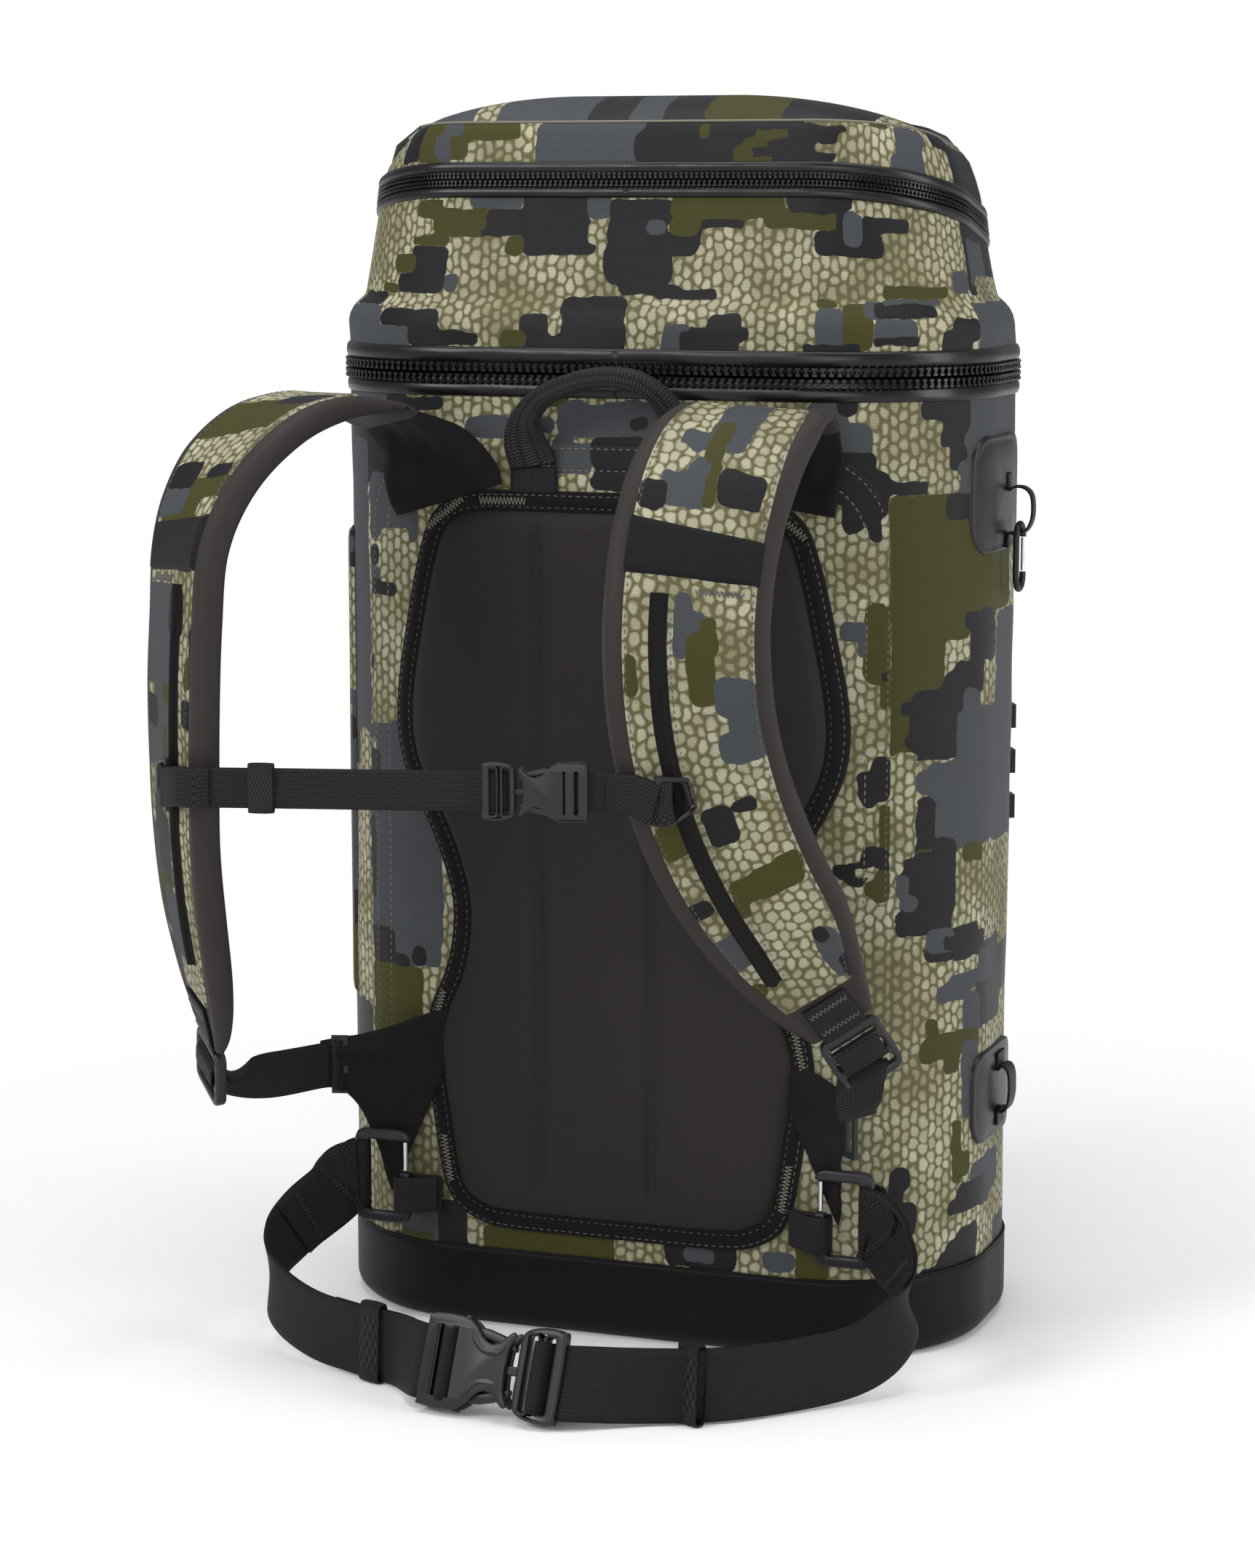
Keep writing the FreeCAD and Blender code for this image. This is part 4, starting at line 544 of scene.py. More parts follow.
# ------------------------------------------------------------------ lid and cap
def sloped(inset, zb, slope, ss):
    C, n = foot(ss)
    xy = C + n * (BR - inset)[..., None]
    z = zb - slope * (xy[..., 1] + BD / 2 - inset)
    return np.concatenate([xy, z[..., None]], -1)
def prof_grid(rows, ss):
    """rows: (inset, zb, slope)."""
    P = np.zeros((len(ss), len(rows), 3))
    for j, (i, zb, sl) in enumerate(rows):
        P[:, j] = sloped(np.full(len(ss), float(i)), zb, sl, ss)
    return P
def interp_rows(keys, nper):
    out = []
    for a, b in zip(keys[:-1], keys[1:]):
        for k in range(nper): t = k / nper; out.append(tuple(a[q] * (1 - t) + b[q] * t for q in range(3)))
    out.append(keys[-1]); return out
SS = np.arange(0, PER, PER / 480.0); NS = len(SS); su = sgn_s(SS)
def add_wrinkle(P, zc, amp, seed, su_):
    C, n = foot(np.mod(su_, PER))
    d = amp * (0.8 * vnoise(su_[:, None] / 46 + 3, P[..., 2] / 40, seed) + 0.5 * vnoise(su_[:, None] / 17, P[..., 2] / 60 + 7, seed + 1))
    P[..., :2] += n[:, None, :] * d[..., None]
    return P
rows = interp_rows([(0.2, 518.5, 0), (0, 531, 0), (0.0, 543, 0)], 4)[:-1] + interp_rows([(0.0, 543, 0), (0.9, 547, 0), (2.6, 550.3, 0), (5.2, 553.4, 0), (8.2, 556, 0), (9.3, 557.4, 0), (9.9, 559.5, 0)], 2)[:-1] + \
       interp_rows([(9.9, 559.5, 0), (17.5, 617.6, 0.225)], 22)
P = prof_grid(rows, SS)
wz = np.clip((P[..., 2] - 532) / 10, 0, 1)[..., None] * np.clip((np.array([r[1] for r in rows])[None, :] - 0) * 0 + 1, 0, 1)[..., None]
Pw = add_wrinkle(P.copy(), 0, 1.3, 21, su)
fadeu = np.clip((np.array([r[0] for r in rows])[None, :, None] * 0 + np.linspace(0, 1, len(rows))[None, :, None] - 0.1) / 0.1, 0, 1) * np.clip((1 - np.linspace(0, 1, len(rows))[None, :, None]) / 0.16, 0, 1)
P = P + (Pw - P) * fadeu
gl = Geo(); uu = np.stack([np.repeat(su[:, None], len(rows), 1), np.repeat(np.cumsum([0] + [math.hypot(b[0] - a[0], b[1] - a[1]) for a, b in zip(rows[:-1], rows[1:])])[None] + 518, NS, 0)], -1)
gl.add(P, grid_faces(NS, len(rows), close_u=True), uu, **paint(uu[..., 0], uu[..., 1], LAY_LID_L))
ri = [(17.5, 617.6, 0.225), (21.1, 617.6, 0.225), (14, 556, 0), (8, 550, 0), (4, 541, 0), (4, 518.4, 0), (0.2, 518.4, 0)]
Pi = prof_grid(ri, SS)
gl.add(Pi, grid_faces(NS, len(ri), close_u=True), np.stack([np.repeat(su[:, None], len(ri), 1), Pi[..., 2]], -1), **{k: np.full((NS, len(ri)), -5.0 if k == "cK" else 50.0) for k in ("cK", "cS", "cO")})
gl.obj("lid_fabric", M_CAMO_LID, "lid", "camo_fabric", replaces=("lid_shell",))

rows = interp_rows([(17.5, 618.4, 0.225), (20.2, 637, 0.17)], 9)[:-1] + interp_rows([(20.2, 637, 0.17), (21.6, 643, 0.155), (23.2, 646.4, 0.145), (24.6, 647.6, 0.14)], 2)
Pc = prof_grid(rows, SS)
_, nS = foot(SS)
for j, (ri_, zb_, sl_) in enumerate(rows):
    k_ = np.interp(zb_, (618.4, 630, 637, 643, 646.4, 647.6), (0, 0.10, 0.34, 0.55, 0.8, 1.0))
    side_in = np.where(nS[:, 0] < 0, 21.0, 8.0) * np.abs(nS[:, 0]) ** 1.6 * k_
    Pc[:, j, :2] -= nS * side_in[:, None]
gc = Geo()
lenr = np.cumsum([0] + [math.hypot(b[0] - a[0], b[1] - a[1]) for a, b in zip(rows[:-1], rows[1:])])
uc = np.stack([np.repeat(su[:, None], len(rows), 1), np.repeat(lenr[None] + 620, NS, 0)], -1)
gc.add(Pc, grid_faces(NS, len(rows), close_u=True), uc, **paint(uc[..., 0], uc[..., 1], LAY_CAP_L))
# crowned top
ks = np.linspace(1, 0.0, 30)
ring = Pc[:, -1, :]; cen = np.array([0, 2.0, 0])
Pt = np.zeros((NS, len(ks), 3))
def top_z(x, y, k, zedge):
    base = 647.6 - 0.14 * (y + BD / 2 - 24.6)
    return base + 21.5 * (1 - k ** 3.0) + (zedge - base) * k ** 6
for j, k in enumerate(ks):
    xy = cen[:2] + (ring[:, :2] - cen[:2]) * k
    Pt[:, j, :2] = xy
    Pt[:, j, 2] = top_z(xy[:, 0], xy[:, 1], k, ring[:, 2]) + (0.9 if 0.0 < k < 0.995 else 0.0) * min(1, (1 - k) * 18)
gc.add(Pt, grid_faces(NS, len(ks), close_u=True), Pt[..., :2], **paint(Pt[..., 0], Pt[..., 1], LAY_TOP_L))
ri = [(17.5, 618.4, 0.225), (21.1, 618.4, 0.225), (23.6, 634, 0.17), (26, 641, 0.14), (38, 649, 0.10)]
Pi = prof_grid(ri, SS)
gc.add(Pi, grid_faces(NS, len(ri), close_u=True, flip=True), np.stack([np.repeat(su[:, None], len(ri), 1), Pi[..., 2]], -1), **{k: np.full((NS, len(ri)), -5.0 if k == "cK" else 50.0) for k in ("cK", "cS", "cO")})
ci = Pi[:, -1, :]; cc = ci.mean(0)
gc.add(np.vstack([ci, cc[None]]), [((i + 1) % NS, i, NS) for i in range(NS)], None, **{k: np.full(NS + 1, -5.0 if k == "cK" else 50.0) for k in ("cK", "cS", "cO")})
gc.obj("cap_fabric", M_CAMO_LID, "cap", "camo_fabric", replaces=("cap_shell",))

# ------------------------------------------------------------------ shared builders
def resample(P, step):
    P = np.asarray(P, float); d = np.concatenate([[0], np.cumsum(np.linalg.norm(np.diff(P, axis=0), axis=1))])
    n = max(2, int(round(d[-1] / step)) + 1); t = np.linspace(0, d[-1], n)
    return np.stack([np.interp(t, d, P[:, k]) for k in range(P.shape[1])], -1), t

def catmull(rows, per):
    rows = np.asarray(rows, float); n = len(rows); out = []
    for i in range(n - 1):
        a, b, c, e = rows[max(i - 1, 0)], rows[i], rows[i + 1], rows[min(i + 2, n - 1)]
        for k in range(per):
            t = k / per
            out.append(0.5 * ((2 * b) + (c - a) * t + (2 * a - 5 * b + 4 * c - e) * t * t + (3 * b - a - 3 * c + e) * t ** 3))
    out.append(rows[-1]); return np.array(out)

def tangents(P):
    q0 = P[np.maximum(np.arange(len(P)) - 1, 0)]; q1 = P[np.minimum(np.arange(len(P)) + 1, len(P) - 1)]
    return unit(q1 - q0)

def sweep(geo, P, T, W, N, w, t, off=0.0, nx=12, roundness=0.35, u0=0.0, caps=True, edge_up=0.0, shift=0.0, bulge=0.0, vscale=1.0):
    """Webbing-like section (width w, thickness t arrays) along frames; u along, v across."""
    n = len(P); w = np.broadcast_to(w, (n,)); t = np.broadcast_to(t, (n,)); off = np.broadcast_to(off, (n,)); shift = np.broadcast_to(shift, (n,))
    xs = np.linspace(-1, 1, nx)
    prof = [(x, 1.0) for x in xs] + [(x, -1.0) for x in xs[::-1]]
    L = np.concatenate([[0], np.cumsum(np.linalg.norm(np.diff(P, axis=0), axis=1))]) + u0
    G_, UV = np.zeros((n, len(prof), 3)), np.zeros((n, len(prof), 2))
    for j, (x, s) in enumerate(prof):
        e = 1 - abs(x) ** 6 * roundness
        G_[:, j] = P + W * (x * w / 2 + shift)[:, None] + N * (off + s * t / 2 * e + (bulge * (1 - x * x)))[:, None]
        UV[:, j, 0] = L; UV[:, j, 1] = x * w / 2 * vscale + (0 if s > 0 else 400)
    geo.add(G_, grid_faces(n, len(prof), close_v=True), UV)
    if caps:
        m = len(prof); base = geo.n - n * m
        geo.f.append(tuple(base + k for k in range(m))); geo.f.append(tuple(base + (n - 1) * m + k for k in range(m))[::-1])

def ribbon_frames(st, per=6):
    """st: (centre, width direction, width[, thickness])."""
    rows = [list(s[0]) + list(unit(np.array(s[1], float))) + [s[2], (s[3] if len(s) > 3 else 0)] for s in st]
    D = catmull(rows, per) if len(rows) > 2 else np.array(rows, float)
    P = D[:, :3]; T = tangents(P); W = D[:, 3:6]; W = W - T * (W * T).sum(1)[:, None]; W = unit(W); N = np.cross(T, W)
    return P, T, W, N, D[:, 6], D[:, 7]

def ribbon(geo, st, t, per=6, off=0.0, w=None, i0=0, i1=None, wave=0.0, **k):
    P, T, W, N, ww, _ = ribbon_frames(st, per)
    if wave:
        L = np.concatenate([[0], np.cumsum(np.linalg.norm(np.diff(P, axis=0), axis=1))])
        P = P + N * (wave * np.sin(L / 31.0 + 1.0) * np.clip(L / 20, 0, 1) * np.clip((L[-1] - L) / 20, 0, 1))[:, None]
    sl = slice(i0, i1)
    sweep(geo, P[sl], T[sl], W[sl], N[sl], ww[sl] if w is None else w, t, off=off, **k)
    return P, T, W, N

def dashes(geo, P, N, length=2.6, gap=1.5, w=0.75, h=0.45, lift=0.0):
    """Running stitches along a path, as small raised pills."""
    P = np.asarray(P, float); d = np.concatenate([[0], np.cumsum(np.linalg.norm(np.diff(P, axis=0), axis=1))])
    N = np.asarray(N, float)
    if N.ndim == 1: N = np.repeat(N[None], len(P), 0)
    a = np.arange(0.5, d[-1] - length, length + gap)
    f = lambda q: (np.stack([np.interp(q, d, P[:, k]) for k in range(3)], -1), unit(np.stack([np.interp(q, d, N[:, k]) for k in range(3)], -1)))
    ts = (0.0, 0.18, 0.5, 0.82, 1.0); hs = (0.15, 0.85, 1.0, 0.85, 0.15); wsx = (0.45, 1.0, 1.0, 1.0, 0.45)
    V_, F_ = [], []
    rings = [f(a + length * t_) for t_ in ts]
    T = unit(rings[-1][0] - rings[0][0])
    base = 0
    for k, (c, n) in enumerate(rings):
        S_ = np.cross(T, n)
        V_.append(np.stack([c - S_ * w / 2 * wsx[k] + n * lift, c - S_ * w / 4 * wsx[k] + n * (lift + h * hs[k]), c + S_ * w / 4 * wsx[k] + n * (lift + h * hs[k]), c + S_ * w / 2 * wsx[k] + n * lift], 1))
    V_ = np.stack(V_, 1)                       # dashes, 5, 4, 3
    m = len(a)
    for q in range(m):
        o = q * 20
        for k in range(4):
            for j in range(3): F_.append((o + k * 4 + j, o + k * 4 + j + 1, o + (k + 1) * 4 + j + 1, o + (k + 1) * 4 + j))
    geo.add(V_.reshape(-1, 3), F_)

def bartack(geo, c, a, b, n, la, lb, turns, w=0.8, h=0.6):
    """Zigzag tack: centre, along a (la), across b (lb)."""
    a, b, n = [unit(np.array(x, float)) for x in (a, b, n)]
    P = [np.array(c) + a * (la * (i / turns - 0.5)) + b * (lb / 2 * (1 if i % 2 else -1)) for i in range(turns + 1)]
    for p, q in zip(P[:-1], P[1:]):
        dashes(geo, np.array([p - (q - p) * 0.05, q + (q - p) * 0.05]), n, length=float(np.linalg.norm(q - p)) * 1.0 - 0.2, gap=0.1, w=w, h=h)

def tube(geo, P, r, nseg=12, closed=False, ref=(0, 0, 1), vs=1.0):
    P = np.asarray(P, float); n = len(P); r = np.broadcast_to(r, (n,))
    if closed: T = unit(np.roll(P, -1, 0) - np.roll(P, 1, 0))
    else: T = tangents(P)
    ref = np.asarray(ref, float); A = unit(np.cross(T, np.repeat(ref[None], n, 0)) + 1e-9); B = np.cross(A, T)
    th = np.arange(nseg) * 2 * math.pi / nseg
    G_ = P[:, None] + (A[:, None] * np.cos(th)[None, :, None] + B[:, None] * np.sin(th)[None, :, None]) * r[:, None, None]
    L = np.concatenate([[0], np.cumsum(np.linalg.norm(np.diff(P, axis=0), axis=1))])
    uv = np.stack([np.repeat(L[:, None], nseg, 1), np.repeat((th * r.mean())[None], n, 0)], -1)
    geo.add(G_, grid_faces(n, nseg, close_u=closed, close_v=True, flip=True), uv)
    if not closed:
        base = geo.n - n * nseg
        geo.f.append(tuple(base + k for k in range(nseg))); geo.f.append(tuple(base + (n - 1) * nseg + k for k in range(nseg))[::-1])

def boxes_at(geo, C_, U, V, N, du, dv, h0, h1, taper=0.25):
    """Many small tapered boxes: centres (n,3), unit axes, sizes."""
    C_ = np.asarray(C_, float); n = len(C_)
    k = 1 - taper
    vs = []
    for (a, b, h, s) in ((-1, -1, h0, 1), (1, -1, h0, 1), (1, 1, h0, 1), (-1, 1, h0, 1), (-1, -1, h1 - 0.3, 1), (1, -1, h1 - 0.3, 1), (1, 1, h1 - 0.3, 1), (-1, 1, h1 - 0.3, 1), (-1, -1, h1, k), (1, -1, h1, k), (1, 1, h1, k), (-1, 1, h1, k)):
        vs.append(C_ + U * (a * du / 2 * s) + V * (b * dv / 2 * (s if dv < 1.3 * du else 1 - taper * du / dv * (s != 1))) + N * h)
    G_ = np.stack(vs, 1).reshape(-1, 3)
    fs = [(0, 1, 5, 4), (1, 2, 6, 5), (2, 3, 7, 6), (3, 0, 4, 7), (4, 5, 9, 8), (5, 6, 10, 9), (6, 7, 11, 10), (7, 4, 8, 11), (8, 9, 10, 11)]
    geo.add(G_, [tuple(i + q * 12 for i in f) for q in range(n) for f in fs])

# ------------------------------------------------------------------ overlay on the harness side
SO = 148.7
def ztop(s):
    d = np.clip(np.abs(s) - (SO - 50), 0, 50); return 482 - (50 - np.sqrt(np.maximum(2500 - d * d, 0.0)))
so_ = np.concatenate([np.linspace(-SO, -SO + 1.2, 3)[:-1], np.linspace(-SO + 1.2, SO - 1.2, 150), np.linspace(SO - 1.2, SO, 3)[1:]])
to_ = np.concatenate([[0, .002], np.linspace(0.006, 0.994, 220), [0.998, 1.0]])
S, TT = np.meshgrid(so_, to_, indexing='ij')
Z_ = 43.3 + TT * (ztop(S) - 43.3)
C, n = foot(S)
offo = 1.25 + 0 * S
edge_d = np.minimum(np.minimum(SO - np.abs(S), ztop(S) - Z_), Z_ - 43.3)
offo = np.where(edge_d < 0.05, -0.3, offo) + 0.25 * np.clip(1 - np.abs(edge_d - 3) / 3, 0, 1) + (np.clip(edge_d / 12, 0, 1)) * (0.30 * vnoise(S / 60, Z_ / 80, 31))
offo -= 0.35 * np.exp(-((edge_d - 14) / 0.9) ** 2) + 0.3 * np.exp(-((edge_d - 2.6) / 0.7) ** 2)
P = np.concatenate([C + n * (BR + offo)[..., None], Z_[..., None]], -1)
go = Geo(); go.add(P, grid_faces(len(so_), len(to_)), np.stack([S, Z_], -1), **paint(S, Z_, LAY_BODY_L))
go.obj("back_overlay_fabric", M_CAMO, "pack", "camo_fabric", replaces=("back_overlay",))
gst = Geo()
def overlay_path(k):
    zs = np.arange(45, 432, 2.0); q = SO - k
    left = [(-q, z) for z in zs]
    a = np.linspace(math.pi, math.pi / 2, 24); R = 50 - k
    arcl = [(-(SO - 50) + R * math.cos(t_), 432 + R * math.sin(t_)) for t_ in a]
    top = [(s_, 482 - k) for s_ in np.arange(-(SO - 50) + 2, SO - 50, 2.0)]
    arcr = [(-x, z) for x, z in arcl[::-1]]
    pts = np.array(left + arcl + top + arcr + [(q, z) for z in zs[::-1]])
    C, n = foot(pts[:, 0]); return np.concatenate([C + n * (BR + 1.05), pts[:, 1:]], -1), np.concatenate([n, 0 * n[:, :1]], -1)
for k in (2.6, 14.0):
    Pp, Nn = overlay_path(k); dashes(gst, Pp, Nn, 2.4, 1.7, 0.7, 0.4)
gst.obj("overlay_stitching", M_THREAD_M, "pack", "camo_fabric")

# ------------------------------------------------------------------ zips
def zwave(s, seed): return 0.55 * vnoise(s / 26.0, s * 0 + seed, seed) + 0.25 * vnoise(s / 9.0, s * 0 + 3, seed + 2)
def front_gap(ss, lim, ymin):
    C, n = foot(np.mod(ss, PER)); P = C + n * BR
    return ~((np.abs(P[:, 0]) < lim) & (P[:, 1] > ymin))
def open_run(ss, keep):
    """Order the kept samples so that they run in one piece."""
    k = np.where(keep)[0]; brk = np.where(np.diff(k) > 1)[0]
    return np.concatenate([k[brk[0] + 1:], k[:brk[0] + 1]]) if len(brk) else k
SZP = np.arange(0, PER, 2.0)
order = open_run(SZP, front_gap(SZP, 93, 60)); sz = SZP[order]
def tape(name, rows, body, node, seed):
    C, n = foot(sz); g_ = Geo(); Pm = np.zeros((len(sz), len(rows), 3)); uv = np.zeros((len(sz), len(rows), 2))
    for j, (o, z, wv) in enumerate(rows):
        Pm[:, j, :2] = C + n * (BR + o + wv * zwave(sz, seed))[:, None]; Pm[:, j, 2] = z; uv[:, j] = np.stack([sz, z + 0 * sz], -1)
    g_.add(Pm, grid_faces(len(sz), len(rows)), uv)
    return g_.obj(name, M_TAPE, body, "zip", replaces=(node,))
tape("main_zip_tape_lower", [(-0.2, 505.6, 0), (0.9, 505.8, 0.1), (1.5, 506.8, .3), (1.8, 508.4, .6), (1.75, 510.4, .6), (1.3, 511.9, .4), (0.7, 512.6, .1), (0.5, 514, 0), (0.5, 517.5, 0), (-0.4, 517.6, 0)], "pack", "main_zip_lower", 2)
tape("main_zip_tape_upper", [(-0.4, 518.3, 0), (0.5, 518.5, 0), (0.5, 521.8, 0), (0.7, 523.4, .1), (1.4, 524.1, .4), (1.85, 525.8, .6), (1.9, 528.2, .6), (1.6, 530.1, .3), (0.9, 531.3, .1), (-0.2, 531.6, 0)], "lid", "main_zip_upper", 6)
def tooth_row(name, body, C3, U, V, N, pitch_sz, sgn, k, mat=M_TEETH):
    """C3: point on the split line for each tooth; V points along the wall away from the split."""
    g_ = Geo(); V = V * sgn
    boxes_at(g_, C3 + V * (1.35 * k), U, V, N, 2.55 * k, 1.75 * k, 0.4, 2.7 * k)
    boxes_at(g_, C3 + V * (2.9 * k), U, V, N, 1.35 * k, 2.3 * k, 0.4, 2.35 * k)
    boxes_at(g_, C3 + V * (4.45 * k), U, V, N, 3.1 * k, 1.25 * k, 0.4, 2.75 * k)
    return g_.obj(name, mat, body, "zip", smooth=False)
PT = PER / 232.0
tn = np.arange(0, PER, PT); kp = open_run(tn, front_gap(tn, 92, 60)); tn = tn[kp]
for ph, sg, nm, bd in ((0.0, -1, "main_zip_teeth_lower", "pack"), (0.5, 1, "main_zip_teeth_upper", "lid")):
    s_ = np.mod(tn + ph * PT, PER); C, n = foot(s_)
    N3 = np.concatenate([n, 0 * n[:, :1]], -1); U3 = np.stack([-n[:, 1], n[:, 0], 0 * n[:, 0]], -1); V3 = np.repeat([[0, 0, 1.0]], len(s_), 0)
    c3 = np.concatenate([C + n * BR, np.full((len(s_), 1), 518.0)], -1)
    tooth_row(nm, bd, c3 + V3 * (0.10 * sg), U3, V3, N3, PT, sg, 1.0)
# cap zip on its sloping plane
NPL = unit(np.array([0, ZS, 1.0]))
def cap_line(s_, o=0.0, dz=0.0, inset=17.5):
    C, n = foot(s_); xy = C + n * (BR - inset)[..., None] if np.ndim(inset) else C + n * (BR - inset)
    z = 618 - ZS * (xy[:, 1] + 82.5)
    nn = unit(np.concatenate([n, 0.13 + 0 * n[:, :1]], -1)); uu = unit(np.stack([-n[:, 1], n[:, 0], n[:, 1] * 0], -1)); uu[:, 2] = -ZS * uu[:, 1]; uu = unit(uu)
    nn = unit(nn - uu * (nn * uu).sum(1)[:, None]); vv = np.cross(uu, nn); vv *= np.sign(vv[:, 2:3])
    base = np.concatenate([xy, z[:, None]], -1)
    return base, uu, vv, nn
cz = SZP[open_run(SZP, front_gap(SZP, 77, 40))]
def cap_tape(name, rows, body, node, seed):
    b_, uu_, vv_, nn_ = cap_line(cz); g_ = Geo(); Pm = np.zeros((len(cz), len(rows), 3)); uv = np.zeros((len(cz), len(rows), 2))
    for j, (o, h, wv) in enumerate(rows):
        Pm[:, j] = b_ + nn_ * (o + wv * zwave(cz, seed))[:, None] + vv_ * h; uv[:, j] = np.stack([cz, h + 0 * cz], -1)
    g_.add(Pm, grid_faces(len(cz), len(rows)), uv)
    return g_.obj(name, M_TAPE, body, "zip", replaces=(node,))
cap_tape("cap_zip_tape_lower", [(-0.9, -9.4, 0), (0.7, -9.2, .1), (1.5, -8.2, .3), (1.8, -6.6, .5), (1.6, -5.0, .4), (0.8, -4.0, .1), (0.45, -3.2, 0), (0.45, -0.5, 0), (-0.9, -0.35, 0)], "lid", "cap_zip_lower", 9)
cap_tape("cap_zip_tape_upper", [(-0.9, 0.35, 0), (0.45, 0.5, 0), (0.45, 3.2, 0), (0.8, 4.0, .1), (1.6, 5.0, .4), (1.8, 6.7, .5), (1.5, 8.3, .3), (0.7, 9.2, .1), (-1.4, 9.4, 0)], "cap", "cap_zip_upper", 12)
PC = PER / 345.0
tc = np.arange(0, PER, PC); tc = tc[open_run(tc, front_gap(tc, 76, 40))]
for ph, sg, nm, bd in ((0.0, -1, "cap_zip_teeth_lower", "lid"), (0.5, 1, "cap_zip_teeth_upper", "cap")):
    b_, uu_, vv_, nn_ = cap_line(np.mod(tc + ph * PC, PER))
    tooth_row(nm, bd, b_ + vv_ * (0.08 * sg), uu_, vv_, nn_, PC, sg, 0.70)
# seam pipings: rim of the cap, seam over the base
def ring_tube(name, inset, zb, slope, r, mat, body, slot, seg=8):
    P = sloped(np.full(len(SS), float(inset)), zb, slope, SS); g_ = Geo(); tube(g_, P, r, seg, closed=True); return g_.obj(name, mat, body, slot)
gpi = Geo(); tube(gpi, Pc[:, -1] + np.array([0, 0, 0.35]), 0.7, 8, closed=True); gpi.obj("cap_rim_piping", M_THREAD_M, "cap", "camo_fabric")
ring_tube("base_rim_piping", -0.9, 43.2, 0, 0.8, M_BASE, "pack", "base_moulding")

# ------------------------------------------------------------------ back pad and its binding
PH = [(56, 62), (58, 76), (66, 91), (80, 99), (100, 103), (120, 106), (140, 109), (160, 110), (178, 106), (196, 98), (215, 93.5), (235, 93), (255, 98), (275, 106), (293, 116), (312, 124),
      (332, 127), (355, 125.5), (380, 121), (405, 116), (425, 111), (441, 105), (451, 95), (456, 80)]
right = [(h, z) for z, h in PH]
outl = [(0, 55.5), (40, 55.5)] + right + [(60, 457), (0, 457)]
outl = outl + [(-x, z) for x, z in outl[::-1]][1:-1]
OUT, _ = resample(catmull(outl + [outl[0]], 5), 2.0); OUT = OUT[:-1]
tg = np.roll(OUT, -1, 0) - np.roll(OUT, 1, 0); tg = unit(tg); OUTN = np.stack([tg[:, 1], -tg[:, 0]], -1)   # outwards for this winding
for _ in range(3): OUTN = unit(np.roll(OUTN, 1, 0) + 2 * OUTN + np.roll(OUTN, -1, 0))
def wrapy(x, off):
    ax = np.abs(x); e = np.clip(ax - 95, 0, BR + off - 0.5)
    return -14 - np.sqrt(np.maximum((BR + off) ** 2 - e ** 2, 0))
def on_back(xz, off):
    x, z = xz[..., 0], xz[..., 1]
    ax = np.abs(x); a = np.where(ax > 95, np.arcsin(np.clip((ax - 95) / (BR + off), 0, 1)), 0) * np.sign(x)
    n = np.stack([np.sin(a), -np.cos(a), 0 * a], -1)
    return np.stack([x, wrapy(x, off), z], -1), n
def ring_rows(geo, rows, uvscale=1.0):
    Pm = np.zeros((len(OUT), len(rows), 3)); uv = np.zeros((len(OUT), len(rows), 2)); L = np.arange(len(OUT)) * 2.0
    for j, (k, off) in enumerate(rows):
        q = OUT - OUTN * k; Pm[:, j], _ = on_back(q, off + 0 * q[:, 0]); uv[:, j] = np.stack([L, k + 0 * L], -1)
    geo.add(Pm, grid_faces(len(OUT), len(rows), close_u=True), uv)
gb = Geo(); ring_rows(gb, [(0, 0.9), (0.1, 2.6), (0.5, 3.6), (1.4, 4.4), (2.4, 4.3), (3.2, 4.9), (5.5, 5.5), (7.8, 5.0), (8.6, 4.5), (9.6, 5.0), (10.8, 4.9), (11.5, 4.0)])
gb.obj("pad_binding", M_BIND, "pack", "binding", replaces=("back_pad_binding",))
gt = Geo()
for k in (2.4, 8.7):
    q = OUT - OUTN * k; q = np.vstack([q, q[:1]]); Pp, Nn = on_back(q, 4.25 + 0 * q[:, 0]); dashes(gt, Pp, Nn, 2.6, 1.6, 0.7, 0.45)
gt.obj("pad_binding_stitching", M_THREAD_D2, "pack", "binding")
gz = Geo()
for (x, z) in ((-98, 447), (-62, 457), (62, 457), (98, 447), (-109, 176), (-101, 92), (109, 170), (101, 92)):
    k = np.argmin((OUT[:, 0] - x) ** 2 + (OUT[:, 1] - z) ** 2); q = OUT[k] - OUTN[k] * 5.6
    c_, n_ = on_back(q, np.array(5.35)); t3 = unit(np.array([tg[k, 0], tg[k, 0] * n_[0] / -n_[1] if abs(n_[1]) > .1 else 0, tg[k, 1]])); b3 = np.cross(n_, t3)
    bartack(gz, c_, t3, b3, n_, 26, 4.2, 26, 0.55, 0.4)
gz.obj("pad_bartacks", M_THREAD_M, "pack", "binding")
